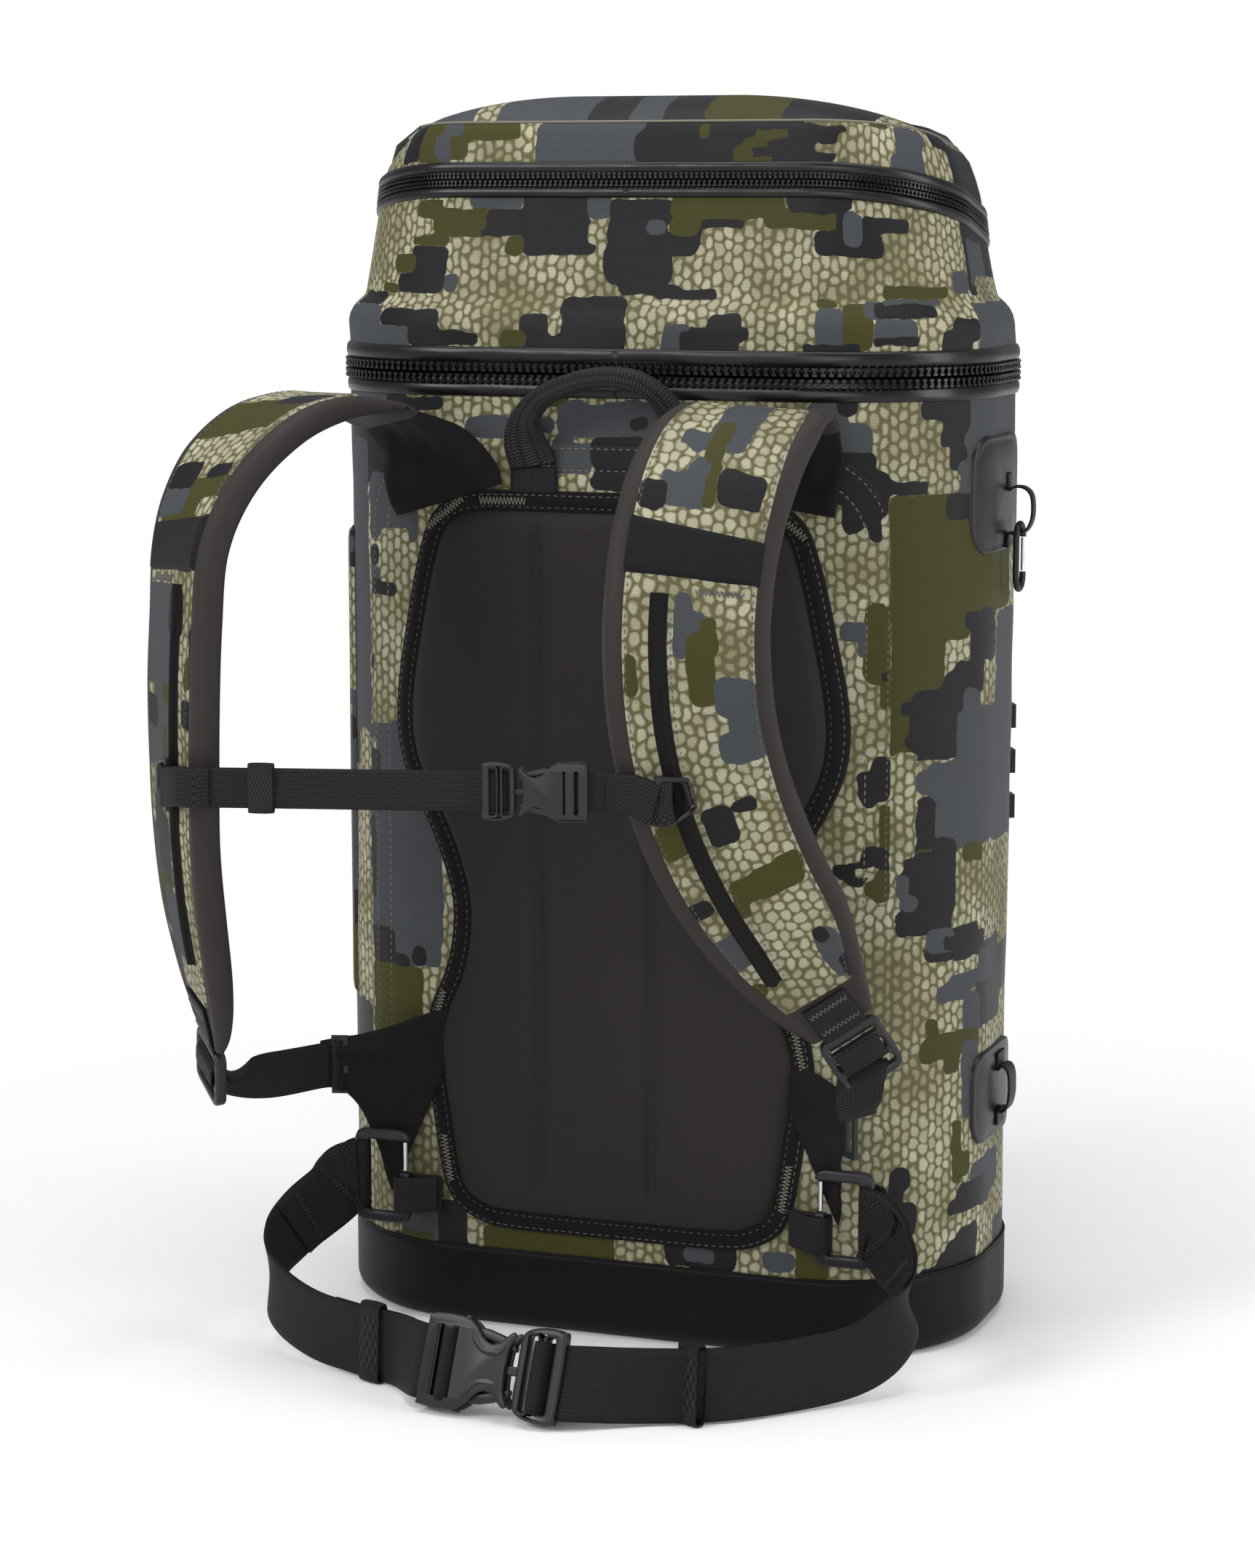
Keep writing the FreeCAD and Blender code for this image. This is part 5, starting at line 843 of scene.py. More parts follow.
# the pad: concentric rings inwards from the binding
NR = 34
cen_line = np.stack([np.zeros(len(OUT)), np.clip(OUT[:, 1], 150, 385)], -1)
inn = OUT - OUTN * 10.2
Pd = np.zeros((len(OUT), NR, 3)); uvp = np.zeros((len(OUT), NR, 2))
for j in range(NR):
    k = j / (NR - 1.0); q = inn * (1 - k) + cen_line * k
    dist = np.linalg.norm(q - inn, axis=1)
    e = np.clip(dist / 13.0, 0, 1); e = np.sqrt(1 - (1 - e) ** 2)
    h = 3.6 + 4.6 * e
    x, z = q[:, 0], q[:, 1]
    fz = np.clip((z - 66) / 22, 0, 1) * np.clip((448 - z) / 18, 0, 1); fz = fz * np.clip(dist / 10, 0, 1)
    for gx, dep, wd in ((-42.0, 3.2, 3.4), (22.0, 2.9, 3.2)): h = h - dep * np.exp(-((x - gx) / wd) ** 2) * fz
    h = h + 0.6 * np.exp(-((x + 34) / 5) ** 2) * fz + 0.5 * np.exp(-((x - 29) / 5) ** 2) * fz
    h = h + 0.28 * vnoise(x / 34 + 9, z / 60, 41) * e
    Pd[:, j], _ = on_back(q, h); uvp[:, j] = q
# fold the centre line shut
gp = Geo(); gp.add(Pd, grid_faces(len(OUT), NR, close_u=True), uvp)
padob = gp.obj("back_pad_foam", M_PAD, "pack", "foam_grey", replaces=("back_pad",))

# ------------------------------------------------------------------ shoulder straps
L_ST = [((-116, -127, 494), -12, 56, 4), ((-128, -142, 501), -18, 62, 7), ((-140, -168, 503), -24, 68, 11), ((-150, -200, 496), -30, 72, 14), ((-159, -227, 480), -35, 76, 15), ((-166, -244, 459), -40, 78, 15),
        ((-170, -254, 434), -44, 80, 15), ((-171, -258, 401), -45, 80, 15), ((-173, -258, 365), -45, 80, 15), ((-175, -255, 327), -46, 80, 15), ((-178, -248, 289), -47, 78, 15), ((-180, -237, 249), -47, 72, 15),
        ((-182, -222, 210), -47, 58, 13), ((-184, -212, 186), -47, 42, 9), ((-186, -208, 176), -47, 34, 4)]
R_ST = [((96, -121, 491), 4, 62, 4), ((95, -134, 499), 8, 70, 7), ((92, -155, 499), 14, 76, 11), ((88, -180, 487), 18, 80, 14), ((85, -200, 468), 22, 82, 15), ((83, -213, 446), 24, 82, 15),
        ((82, -221, 422), 25, 82, 15), ((82, -225, 392), 25, 82, 15), ((84, -221, 354), 25, 82, 15), ((90, -210, 316), 26, 82, 15), ((100, -191, 278), 27, 80, 15), ((113, -168, 243), 28, 74, 15),
        ((124, -150, 215), 28, 58, 13), ((132, -140, 199), 28, 44, 9), ((136, -136, 191), 28, 36, 4)]
def strap_frames(ST, per):
    D = catmull([list(q[0]) + [q[1], q[2], q[3]] for q in ST], per); P = D[:, :3]; T = tangents(P)
    y = np.radians(D[:, 3]); W = np.stack([np.cos(y), np.sin(y), 0 * y], -1); W = unit(W - T * (W * T).sum(1)[:, None])
    N = np.cross(W, T); N[(N @ np.array([0, -1, .25])) < 0] *= -1
    return P, T, W, N, D[:, 4], D[:, 5]
PERS = 12
FR_ = {"left": strap_frames(L_ST, PERS), "right": strap_frames(R_ST, PERS)}
AL = {k: np.concatenate([[0], np.cumsum(np.linalg.norm(np.diff(f[0], axis=0), axis=1))]) for k, f in FR_.items()}
RAILW = {"left": 13.0, "right": -15.0}
gwe = Geo(); gfs = {}
for side in ("left", "right"):
    P, T, W, N, w, t = FR_[side]; al = AL[side]; n = len(P)
    # padding with rolled borders
    m = 44; th = np.linspace(0, 2 * math.pi, m, endpoint=False)
    ca, sa = np.cos(th), np.sin(th)
    ax = np.sign(ca) * np.abs(ca) ** 0.30; ay = np.sign(sa) * np.abs(sa) ** 0.55
    roll = np.where(np.abs(ax) > 0.72, np.sin((np.clip(np.abs(ax), 0.72, 1) - 0.72) / 0.28 * math.pi), 0)
    G_ = np.zeros((n, m, 3)); uv = np.zeros((n, m, 2)); per_ = np.cumsum(np.hypot(np.diff(np.append(ax, ax[0])) * 40, np.diff(np.append(ay, ay[0])) * 7))
    lump = 0.5 * vnoise(al[:, None] / 42 + (0 if side == "left" else 9), np.abs(th)[None, :] * 2, 51)
    for j in range(m):
        hh = ay[j] * t / 2 * 0.985 + np.sign(ay[j]) * roll[j] * np.minimum(1.5, t * 0.1) * (1 if ay[j] > 0 else 0.4)
        G_[:, j] = P + W * (ax[j] * (w / 2) + lump[:, j] * 0.6 * (abs(ax[j]) > 0.8))[:, None] + N * (hh + lump[:, j] * 0.35 * (ay[j] < -0.3))[:, None]
        uv[:, j] = np.stack([al, per_[j] + 0 * al], -1)
    g_ = Geo(); g_.add(G_, grid_faces(n, m, close_v=True, flip=(side == "left")), uv)
    g_.f.append(tuple(range(m))); g_.f.append(tuple((n - 1) * m + k for k in range(m))[::-1])
    o = g_.obj("strap_padding_" + side, M_FOAM, "harness", "foam_grey", replaces=("shoulder_pads",))
    # camouflage face
    i0, i1 = 2 * PERS - 3, int(12.33 * PERS); sl = slice(i0, i1)
    xs = np.linspace(-1, 1, 46); hw = (w / 2 - 8.6)[sl]
    e = np.clip((1 - np.abs(xs)) / 0.07, 0, 1); dome = 0.25 + 1.0 * np.sqrt(1 - (1 - e) ** 2)
    wr = 0.22 * vnoise(al[sl][:, None] / 28, xs[None, :] * 2.2 + 4, 61) * e[None, :]
    Gf = P[sl][:, None] + W[sl][:, None] * (xs[None, :] * hw[:, None])[..., None] + N[sl][:, None] * ((t[sl] / 2)[:, None] + dome[None, :] + wr)[..., None]
    uw = xs[None, :] * hw[:, None]; vw = np.repeat(al[sl][:, None], 46, 1)
    g_ = Geo(); g_.add(Gf, grid_faces(i1 - i0, 46), np.stack([uw, -vw], -1), **paint(uw, vw, LAY_S[side], seed=14))
    g_.obj("strap_face_" + side, M_CAMO_STRAP, "harness", "camo_fabric", replaces=("strap_faces",))
    # stitches along both edges of the face
    for q in (-1, 1):
        Pe = P[sl] + W[sl] * (q * (hw - 1.6))[:, None] + N[sl] * (t[sl] / 2 + 1.1)[:, None]
        dashes(gwe, Pe, N[sl], 2.3, 1.5, 0.6, 0.4)
    # the piping the chest strap slides on, with its flange
    zc = P[:, 2] + 0 * P[:, 2]; r0 = int(np.argmin(np.abs(np.where(np.arange(n) > 4 * PERS, P[:, 2], 9e9) - 418))); r1 = int(np.argmin(np.abs(P[:, 2] - 226)))
    rs = slice(r0, r1); g_ = Geo(); oW = RAILW[side]
    base = P[rs] + W[rs] * oW + N[rs] * (t[rs] / 2)[:, None]
    cross = [(-4.6, 1.0), (-4.4, 1.7), (-2.7, 1.9), (-2.2, 3.4), (-1.2, 4.5), (0, 4.8), (1.2, 4.5), (2.2, 3.4), (2.7, 1.9), (4.4, 1.7), (4.6, 1.0)]
    Gr = np.stack([base + W[rs] * a + N[rs] * b for a, b in cross], 1); uvr = np.zeros(Gr.shape[:2] + (2,)); uvr[..., 0] = al[rs][:, None]; uvr[..., 1] = np.array([c_[0] * 1.4 for c_ in cross])[None]
    g_.add(Gr, grid_faces(r1 - r0, len(cross)), uvr)
    g_.obj("strap_rail_" + side, M_BIND, "harness", "webbing", replaces=("strap_rails",))
    qs = 1 if side == "right" else -1
    dashes(gwe, base + W[rs] * (qs * 6.4) + N[rs] * 1.15, N[rs], 2.2, 1.3, 0.6, 0.4)
    # blank band across the strap
    ib = int(np.argmin(np.abs(np.where(np.arange(n) > 4 * PERS, P[:, 2], 9e9) - 436)))
    bl = np.linspace(al[ib] - 12.4, al[ib] + 12.4, 14)
    f_ = lambda A: np.stack([np.interp(bl, al, A[:, k]) for k in range(3)], -1)
    Pb_, Wb_, Nb_ = f_(P), unit(f_(W)), unit(f_(N)); wb = np.interp(bl, al, w); tb = np.interp(bl, al, t)
    xs2 = np.linspace(-1, 1, 26); e2 = np.clip((1 - np.abs(xs2)) / 0.04, 0, 1)
    hb = 0.6 + 1.9 * np.sqrt(1 - (1 - e2) ** 2); ev = np.ones(14); ev[0] = ev[-1] = 0.3
    tilt = 0.0
    Gb = Pb_[:, None] + Wb_[:, None] * (xs2[None] * (wb / 2 - 7.6)[:, None])[..., None] + Nb_[:, None] * ((tb / 2)[:, None] + hb[None] * ev[:, None])[..., None]
    g_ = Geo(); uvb = np.zeros(Gb.shape[:2] + (2,)); uvb[..., 1] = bl[:, None]; uvb[..., 0] = xs2[None] * (wb / 2 - 8)[:, None]
    g_.add(Gb, grid_faces(14, 26), uvb); g_.obj("strap_band_" + side, M_WEB_BAND, "harness", "webbing", replaces=("strap_bands",))
    # tack under the band
    it = int(np.argmin(np.abs(al - (al[ib] + 17)))); cx_ = 14.0 if side == "right" else -12.0
    bartack(gwe, P[it] + W[it] * cx_ + N[it] * (t[it] / 2 + 1.25), W[it], T[it], N[it], 24, 3.2, 22, 0.6, 0.45)
    # lower end: webbing loop sewn to the pad, holding the ladder lock
    ge = Geo(); je = int(12.35 * PERS); jl = slice(je, n)
    Pe = np.vstack([P[jl], (P[-1] + T[-1] * 5.0)[None], (P[-1] + T[-1] * 8.6)[None]]); ex = lambda A: np.vstack([A[jl], A[-1:], A[-1:]])
    sweep(ge, Pe, ex(T), ex(W), ex(N), 25.0, 1.6, off=np.concatenate([t[jl] / 2 + 1.1, [1.8, 1.2]]), nx=10, u0=0)
    bartack(gwe, P[je + 3] + N[je + 3] * (t[je + 3] / 2 + 1.95), W[je + 3], T[je + 3], N[je + 3], 22, 3.0, 18, 0.6, 0.4)
    bartack(gwe, P[je + 14] + N[je + 14] * (t[je + 14] / 2 + 1.95), W[je + 14], T[je + 14], N[je + 14], 22, 3.0, 18, 0.6, 0.4)
    ge.obj("strap_end_webbing_" + side, M_WEB, "harness", "webbing")
gwe.obj("strap_stitching", M_THREAD_D2, "harness", "webbing")

# strap roots: soft fabric from the pad's top edge to the padded strap
def root(name, pts, fr, seed, flip):
    P, T, W, N, w, t = fr
    st = pts + [(P[0] - T[0] * 0.5, W[0], w[0]), (P[5] , W[5], w[5] + 1.0)]
    Pf, Tf, Wf, Nf, wf, _ = ribbon_frames(st, 9)
    n = len(Pf); xs = np.linspace(-1, 1, 34); G_ = np.zeros((n, 68, 3)); uv = np.zeros((n, 68, 2))
    L = np.concatenate([[0], np.cumsum(np.linalg.norm(np.diff(Pf, axis=0), axis=1))])
    Nf = np.where((Nf @ np.array([0, -1, 0.2]))[:, None] < 0, -Nf, Nf)
    sag = np.sin(np.clip(L / L[-1], 0, 1) * math.pi)
    for j in range(68):
        top = j < 34; x = xs[j] if top else xs[67 - j]
        fold = sag * (2.3 * np.sin(x * 5.2 + L / 9.0 + seed) * 0.5 + 1.2 * np.sin(x * 11 - L / 7.0 + seed * 2) * 0.5 - 1.4 * (1 - x * x))
        th_ = 1.5 * (1 - abs(x) ** 8) + np.clip((L - L[-1] * 0.72) / (L[-1] * 0.28), 0, 1) * 0.9
        hgt = fold + (th_ if top else -0.6)
        G_[:, j] = Pf + Wf * (x * wf / 2)[:, None] + Nf * hgt[:, None]; uv[:, j] = np.stack([L, x * wf / 2], -1)
    g_ = Geo(); g_.add(G_, grid_faces(n, 68, close_v=True, flip=flip), uv)
    m = 68; g_.f.append(tuple(range(m))); g_.f.append(tuple((n - 1) * m + k for k in range(m))[::-1])
    o = g_.obj(name, M_DARKFAB, None, "dark_fabric", replaces=("strap_roots",))
    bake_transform(o)
root("strap_root_left", [((-92, -106.2, 451), (1, 0, -0.02), 64), ((-96, -108.6, 463), (1, -0.03, 0), 68), ((-104, -115.5, 480), (1, -0.12, 0), 62)], FR_["left"], 1.0, True)
root("strap_root_right", [((90, -106.6, 453), (1, 0, 0), 62), ((92, -109, 464), (1, 0.02, 0), 62), ((95, -114, 479), (1, 0.05, 0), 62)], FR_["right"], 3.0, True)

# ------------------------------------------------------------------ grab handle
HP = [((-45, -103.6, 458), 26, 3.0), ((-45, -104.0, 470.2), 26, 3.0), ((-47.5, -109, 484), 24, 4.0), ((-44, -115, 497), 15, 8), ((-30, -121, 509), 11, 12), ((-5, -125, 517), 11, 13), ((16, -125, 517), 11, 13),
      ((29, -121, 510), 11, 12), ((36, -115, 498), 15, 8), ((37, -109, 484), 23, 4.0), ((36, -104.0, 470.2), 26, 3.0)]
D = catmull([list(p) + [a, b] for p, a, b in HP[1:]], 8); P = D[:, :3]; T = tangents(P); T[0] = unit(np.array([-0.1, -0.3, 1])); T[-1] = unit(np.array([-0.1, 0.3, -1]))
B = np.repeat([[0, 1.0, 0]], len(P), 0); B = unit(B - T * (B * T).sum(1)[:, None]); R = np.cross(T, B)
m = 28; th = np.linspace(0, 2 * math.pi, m, endpoint=False); G_ = np.zeros((len(P), m, 3)); uv = np.zeros((len(P), m, 2)); L = np.concatenate([[0], np.cumsum(np.linalg.norm(np.diff(P, axis=0), axis=1))])
for j, a in enumerate(th):
    cx_, sx_ = math.cos(a), math.sin(a); ex = 0.55
    G_[:, j] = P + R * (np.sign(cx_) * abs(cx_) ** ex * D[:, 3] / 2)[:, None] + B * (np.sign(sx_) * abs(sx_) ** ex * D[:, 4] / 2)[:, None]
    uv[:, j] = np.stack([L, a * 7.5 + 0 * L], -1)
g_ = Geo(); g_.add(G_, grid_faces(len(P), m, close_v=True), uv); g_.f.append(tuple(range(m))); g_.f.append(tuple((len(P) - 1) * m + k for k in range(m))[::-1])
g_.obj("grab_handle_webbing", M_WEB_H, "handle", "webbing", replaces=("grab_handle",))
# the sewn lap on the back of the rolled part
g_ = Geo(); dashes(g_, P[20:-20] + B[20:-20] * (-D[20:-20, 4:5] / 2 - 0.1) + R[20:-20] * 3.2, -B[20:-20], 2.2, 1.4, 0.6, 0.4)
dashes(g_, P[20:-20] + B[20:-20] * (-D[20:-20, 4:5] / 2 - 0.1) - R[20:-20] * 3.2, -B[20:-20], 2.2, 1.4, 0.6, 0.4)
g_.obj("handle_stitching", M_THREAD_D, "handle", "webbing")
g_ = Geo()
for x0, x1 in ((-58, -32), (23, 49)):
    cx_ = (x0 + x1) / 2
    ribbon(g_, [((cx_, -102.9, 447.5), (1, 0, 0), 26), ((cx_, -102.9, 458.5), (1, 0, 0), 26), ((cx_, -102.9, 469.6), (1, 0, 0), 26)], 1.9, per=4)
g_.obj("handle_tab_webbing", M_WEB, "pack", "webbing", replaces=("handle_tabs",))

# ------------------------------------------------------------------ sternum strap
Zv = (0, 0, 1)
edge_, lw_, rw_, me_, fe_ = np.array((-153.5, -293.44, 320.55)), np.array((-180.4, -277.45, 321.5)), np.array((82.66, -237.05, 319.67)), np.array((-2.94, -257.49, 323)), np.array((33.98, -248.67, 323))
ub = np.array([.97265, .232256, 0])
CLIP = {}
for side in ("left", "right"):
    P, T, W, N, w, t = FR_[side]; q = P + W * RAILW[side] + N * (t / 2 + 1.2)[:, None]
    i = [k for k in range(40, len(P) - 1) if (q[k, 2] - 322) * (q[k + 1, 2] - 322) <= 0][0]; k = (q[i, 2] - 322) / (q[i, 2] - q[i + 1, 2])
    Nq = unit(N[i]); Vq = unit(-T[i]); Uq = np.cross(Vq, Nq); sg = 1 if Uq[0] * (1 if side == "left" else -1) > 0 else -1
    CLIP[side] = (q[i] * (1 - k) + q[i + 1] * k, Uq, Vq, Nq, sg)
def clip_pt(side, a, b):
    Q, Uq, Vq, Nq, sg = CLIP[side]; return tuple(Q + Uq * (sg * a) + Nq * b)
g_ = Geo()
stl = [(clip_pt('left', 4.2, 4.4), Zv, 19.6), (clip_pt('left', 4.0, 7.6), Zv, 19.6), (clip_pt('left', 6.8, 9.6), Zv, 20), (clip_pt('left', 12.5, 8.8), Zv, 20), ((edge_[0] - 7, edge_[1] + 1.6, 322), Zv, 20), ((edge_[0] + 2, edge_[1] - 0.6, 322), Zv, 20), ((edge_[0] + 16, edge_[1] - 0.3 + 16 * ub[1] / ub[0], 322.2), Zv, 20), ((me_[0] - 40, me_[1] - 9.7, 322.6), Zv, 20), ((me_[0] + 4, me_[1] + 1.0, 323), Zv, 20)]
P_, T_, W_, N_ = ribbon(g_, stl, 1.7, per=8, w=20)
ribbon(g_, stl, 1.5, per=8, w=19.6, off=(1.7 if N_[20][1] < 0 else -1.7), i0=22, i1=48)     # doubled, sewn-back end
o = g_.obj("sternum_webbing_long", M_WEB, None, "webbing", replaces=("sternum_webbing_left",))
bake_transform(o)
g_ = Geo()
str_ = [((fe_[0] - 3, fe_[1] - 0.7, 323), Zv, 20), ((rw_[0] - 24, rw_[1] - 5.2, 322.4), Zv, 20), (clip_pt('right', 11.5, 8.6), Zv, 20), (clip_pt('right', 6.8, 9.6), Zv, 20), (clip_pt('right', 4.0, 7.6), Zv, 19.6), (clip_pt('right', 4.2, 4.4), Zv, 19.6)]
P2, T2, W2, N2 = ribbon(g_, str_, 1.7, per=8, w=20)
ribbon(g_, str_, 1.5, per=8, w=19.6, off=(1.7 if N2[10][1] < 0 else -1.7), i0=5, i1=17)
g_.obj("sternum_webbing_short", M_WEB, "sternum", "webbing", replaces=("sternum_webbing_right",))
g_ = Geo()
for (PP, TT_, WW, NN, k) in ((P_, T_, W_, N_, 45), (P_, T_, W_, N_, 34), (P2, T2, W2, N2, 7)):
    sgn_ = 1 if NN[k][1] < 0 else -1
    bartack(g_, PP[k] + NN[k] * sgn_ * 2.5, WW[k], TT_[k], NN[k] * sgn_, 16, 3.2, 16, 0.6, 0.4)
g_.obj("sternum_bartacks", M_THREAD_D, "sternum", "webbing")
# keeper: ribbed elastic sleeve
kx = -118.0; ky = edge_[1] + (kx - edge_[0]) * ub[1] / ub[0] - 0.3; kc = np.array([kx, ky, 322.3]); ku = unit(ub); kn = np.array([ku[1], -ku[0], 0])
g_ = Geo(); pr = []
for a in np.linspace(0, 2 * math.pi, 40, endpoint=False):
    ca_, sa_ = math.cos(a), math.sin(a); pr.append((np.sign(ca_) * abs(ca_) ** 0.35 * 12.3, np.sign(sa_) * abs(sa_) ** 0.35 * 2.9))
rows_ = [(-6.3, 0.9), (-6.2, 1.0), (-3, 1.02), (3, 1.02), (6.2, 1.0), (6.3, 0.9)]
G_ = np.stack([np.stack([kc + ku * a + np.array([0, 0, 1]) * (z * s_) + kn * (y * s_) for z, y in pr], 0) for a, s_ in rows_], 0); uvk = np.zeros(G_.shape[:2] + (2,)); uvk[..., 0] = np.arange(40)[None] * 1.45; uvk[..., 1] = np.array([r[0] for r in rows_])[:, None]
g_.add(G_, grid_faces(6, 40, close_v=True), uvk); g_.obj("sternum_keeper_sleeve", M_FOAMWEB, "sternum", "webbing", replaces=("sternum_keeper",))

# ------------------------------------------------------------------ wings and adjuster webbing
def fabric_wing(name, st, seed, flip):
    Pf, Tf, Wf, Nf, wf, _ = ribbon_frames(st, 8); n = len(Pf); xs = np.linspace(-1, 1, 26)
    L = np.concatenate([[0], np.cumsum(np.linalg.norm(np.diff(Pf, axis=0), axis=1))]); Nf = np.where((Nf @ np.array([0, -1, 0]))[:, None] < 0, -Nf, Nf)
    G_ = np.zeros((n, 52, 3)); uv = np.zeros((n, 52, 2))
    for j in range(52):
        top = j < 26; x = xs[j] if top else xs[51 - j]
        f = np.clip(L / 12, 0, 1) * (0.9 * np.sin(x * 6 + L / 11 + seed) + 0.6 * np.sin(x * 13 + seed * 3))
        G_[:, j] = Pf + Wf * (x * wf / 2)[:, None] + Nf * (f + (1.2 * (1 - abs(x) ** 10) if top else -0.7))[:, None]; uv[:, j] = np.stack([L, x * wf / 2], -1)
    g_ = Geo(); g_.add(G_, grid_faces(n, 52, close_v=True, flip=flip), uv); g_.f.append(tuple(range(52))); g_.f.append(tuple((n - 1) * 52 + k for k in range(52))[::-1])
    return g_.obj(name, M_DARKFAB, "pack", "dark_fabric", replaces=("wings",))
fabric_wing("lower_wing_left", [((-104, -105.4, 127), Zv, 120), ((-118, -106.8, 133), Zv, 88), ((-136, -109.5, 139), Zv, 52), ((-150.0, -111.8, 142), Zv, 33), ((-156.6, -114.0, 142), Zv, 31)], 0.5, False)
fabric_wing("lower_wing_right", [((104, -105.4, 124), Zv, 104), ((114, -107.6, 129), Zv, 74), ((124, -112, 133), Zv, 44), ((133.5, -119.5, 134.5), Zv, 25)], 2.2, True)
CLp, CRp = {}, {}
for side, ext, pts in (("left", 21.0, [((-186, -180, 148), (0.5, -0.3, 0.8), 25), ((-176, -155, 144), Zv, 25), ((-162.5, -117.6, 142), Zv, 25), ((-158.0, -116.8, 142), Zv, 27), ((-156.0, -113.2, 142), Zv, 28), ((-157.4, -110.4, 142), Zv, 28), ((-161.8, -111.6, 142), Zv, 27), ((-166.5, -116.6, 142.4), Zv, 25)]), ("right", 24.0, [((143.2, -129.8, 153), (0.75, 0.3, 0.5), 24), ((142.0, -127.2, 141), (0.6, 0.3, 0.8), 22)])):
    P, T, W, N, w, t = FR_[side]; c_ = P[-1] + T[-1] * ext - N[-1] * 4.4
    g_ = Geo(); ribbon(g_, [(tuple(c_), tuple(W[-1]), 25)] + pts, 1.6, per=8, w=None)
    o = g_.obj("adjuster_webbing_" + side, M_WEB, None, "webbing", replaces=("adjuster_webbing",))
    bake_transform(o)
    # webbing threaded through the ladder lock, and its short tail
    ga = Geo(); A_ = P[-1] + T[-1] * 19.5; Tn, Wn, Nn = T[-1], W[-1], N[-1]
    ribbon(ga, [(tuple(A_ - Tn * 7.5 - Nn * 2.2), tuple(Wn), 25), (tuple(A_ - Tn * 6.6 + Nn * 3.2), tuple(Wn), 25), (tuple(A_ - Tn * 1.5 + Nn * 4.0), tuple(Wn), 25), (tuple(A_ + Tn * 4.6 + Nn * 3.4), tuple(Wn), 25), (tuple(A_ + Tn * 6.6 - Nn * 1.5), tuple(Wn), 25)], 1.5, per=6)
    ga.obj("ladder_webbing_" + side, M_WEB, "harness", "webbing")

# ------------------------------------------------------------------ hip belt
LB = [((-149.5, -113.5, 81), Zv, 38), ((-158, -124, 71), Zv, 38), ((-169, -139, 60), Zv, 38), ((-175, -154, 48), Zv, 38), ((-173, -168, 36), Zv, 38), ((-161, -180, 27), Zv, 38), ((-136, -195, 21.5), Zv, 38), ((-108, -207, 20.3), Zv, 38), ((-80, -217, 20.3), (0, 0.1, 1), 38)]
RB = [((149.5, -113.5, 81), Zv, 38), ((159, -121, 70), Zv, 38), ((168, -128, 58), Zv, 38), ((171, -136, 45), Zv, 38), ((166, -147, 33), Zv, 38), ((154, -161, 24), Zv, 38), ((134, -181, 20.5), Zv, 38), ((101, -213, 20.3), Zv, 38), ((66, -229, 20.3), (0, 0.1, 1), 38)]
HBc, HU = np.array((-14.0, -242.0, 24.6)), unit(np.array((.99273, -.12033, 0)))
HV = unit(np.array((.04316, .3561, .93345)))
HLn = 78.0
q1, q2 = HBc - HU * (HLn * .56) - HV * 1.5 + np.array((0, 1.2, 0)), HBc + HU * (HLn * .56) - HV * 1.5 + np.array((0, 1.2, 0))
e1, e2 = HBc - HU * (HLn * .395) - HV * 1.5, HBc + HU * (HLn * .40) - HV * 1.5
gbt = Geo()
for side, ST, q_, e_, s in (("left", LB, q1, e1, -1), ("right", RB, q2, e2, 1)):
    g_ = Geo(); NB = np.cross(HU, HV)
    tail = [(0.56, -1.0, 38), (0.47, -6.4, 37.5), (0.41, -5.4, 37), (0.395, 0.4, 36.8), (0.335, 6.2, 36.6), (0.28, 1.0, 36.6), (0.29, -5.6, 36.6), (0.36, -8.0, 36.6), (0.50, -9.4, 36.6)]
    wr = [((s * 139.7, -111.4, 82), Zv, 38), ((s * 140.3, -114.9, 82), Zv, 38), ((s * 142.8, -117.1, 82), Zv, 38), ((s * 147.2, -117.3, 81.4), Zv, 38), ((s * 151.8, -118.2, 78.5), Zv, 38)]
    st = wr + ST[1:] + [(tuple(HBc + HU * (s * HLn * a) - HV * 1.5 + NB * b), tuple(HV), w_) for a, b, w_ in tail]
    P_, T_, W_, N_ = ribbon(g_, st, 1.9, per=9, w=None)
    out_ = 1 if N_[30][1] < 0 else -1
    # sewn-back doubled ends: at the hook and at the buckle
    ribbon(g_, st, 1.6, per=9, w=37.6, off=out_ * 1.85, i0=20, i1=58)
    kb = (len(ST) + 4) * 9; ribbon(g_, st, 1.6, per=9, w=37.6, off=out_ * 1.85, i0=kb - 22, i1=kb - 4)
    # wrap round the hook's outer bar
    loop = [((s * 139.7, -113.2, 82), Zv, 38), ((s * 140.4, -109.5, 82), Zv, 38), ((s * 143.0, -107.5, 82), Zv, 38), ((s * 147.2, -107.7, 81.4), Zv, 38), ((s * 152.0, -112.4, 78), Zv, 38), ((s * 157.5, -120.6, 71.8), Zv, 38)]
    ribbon(g_, loop, 1.7, per=6, w=37.8)
    if side == "left": o = g_.obj("hip_belt_webbing_left", M_BELT, "pack", "webbing", replaces=("hip_belt_left",))
    else:
        o = g_.obj("hip_belt_webbing_right", M_BELT, None, "webbing", replaces=("hip_belt_right",))
        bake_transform(o)
    for k in (40, 52):
        bartack(gbt, P_[k] + N_[k] * out_ * 3.3, W_[k], T_[k], N_[k] * out_, 31, 3.6, 26, 0.65, 0.4)
    if side == "left":
        k = kb - 19; bartack(gbt, P_[k] + N_[k] * out_ * 3.3, W_[k], T_[k], N_[k] * out_, 31, 3.4, 26, 0.65, 0.4)
gbt.obj("hip_belt_bartacks", M_THREAD_D, "pack", "webbing")
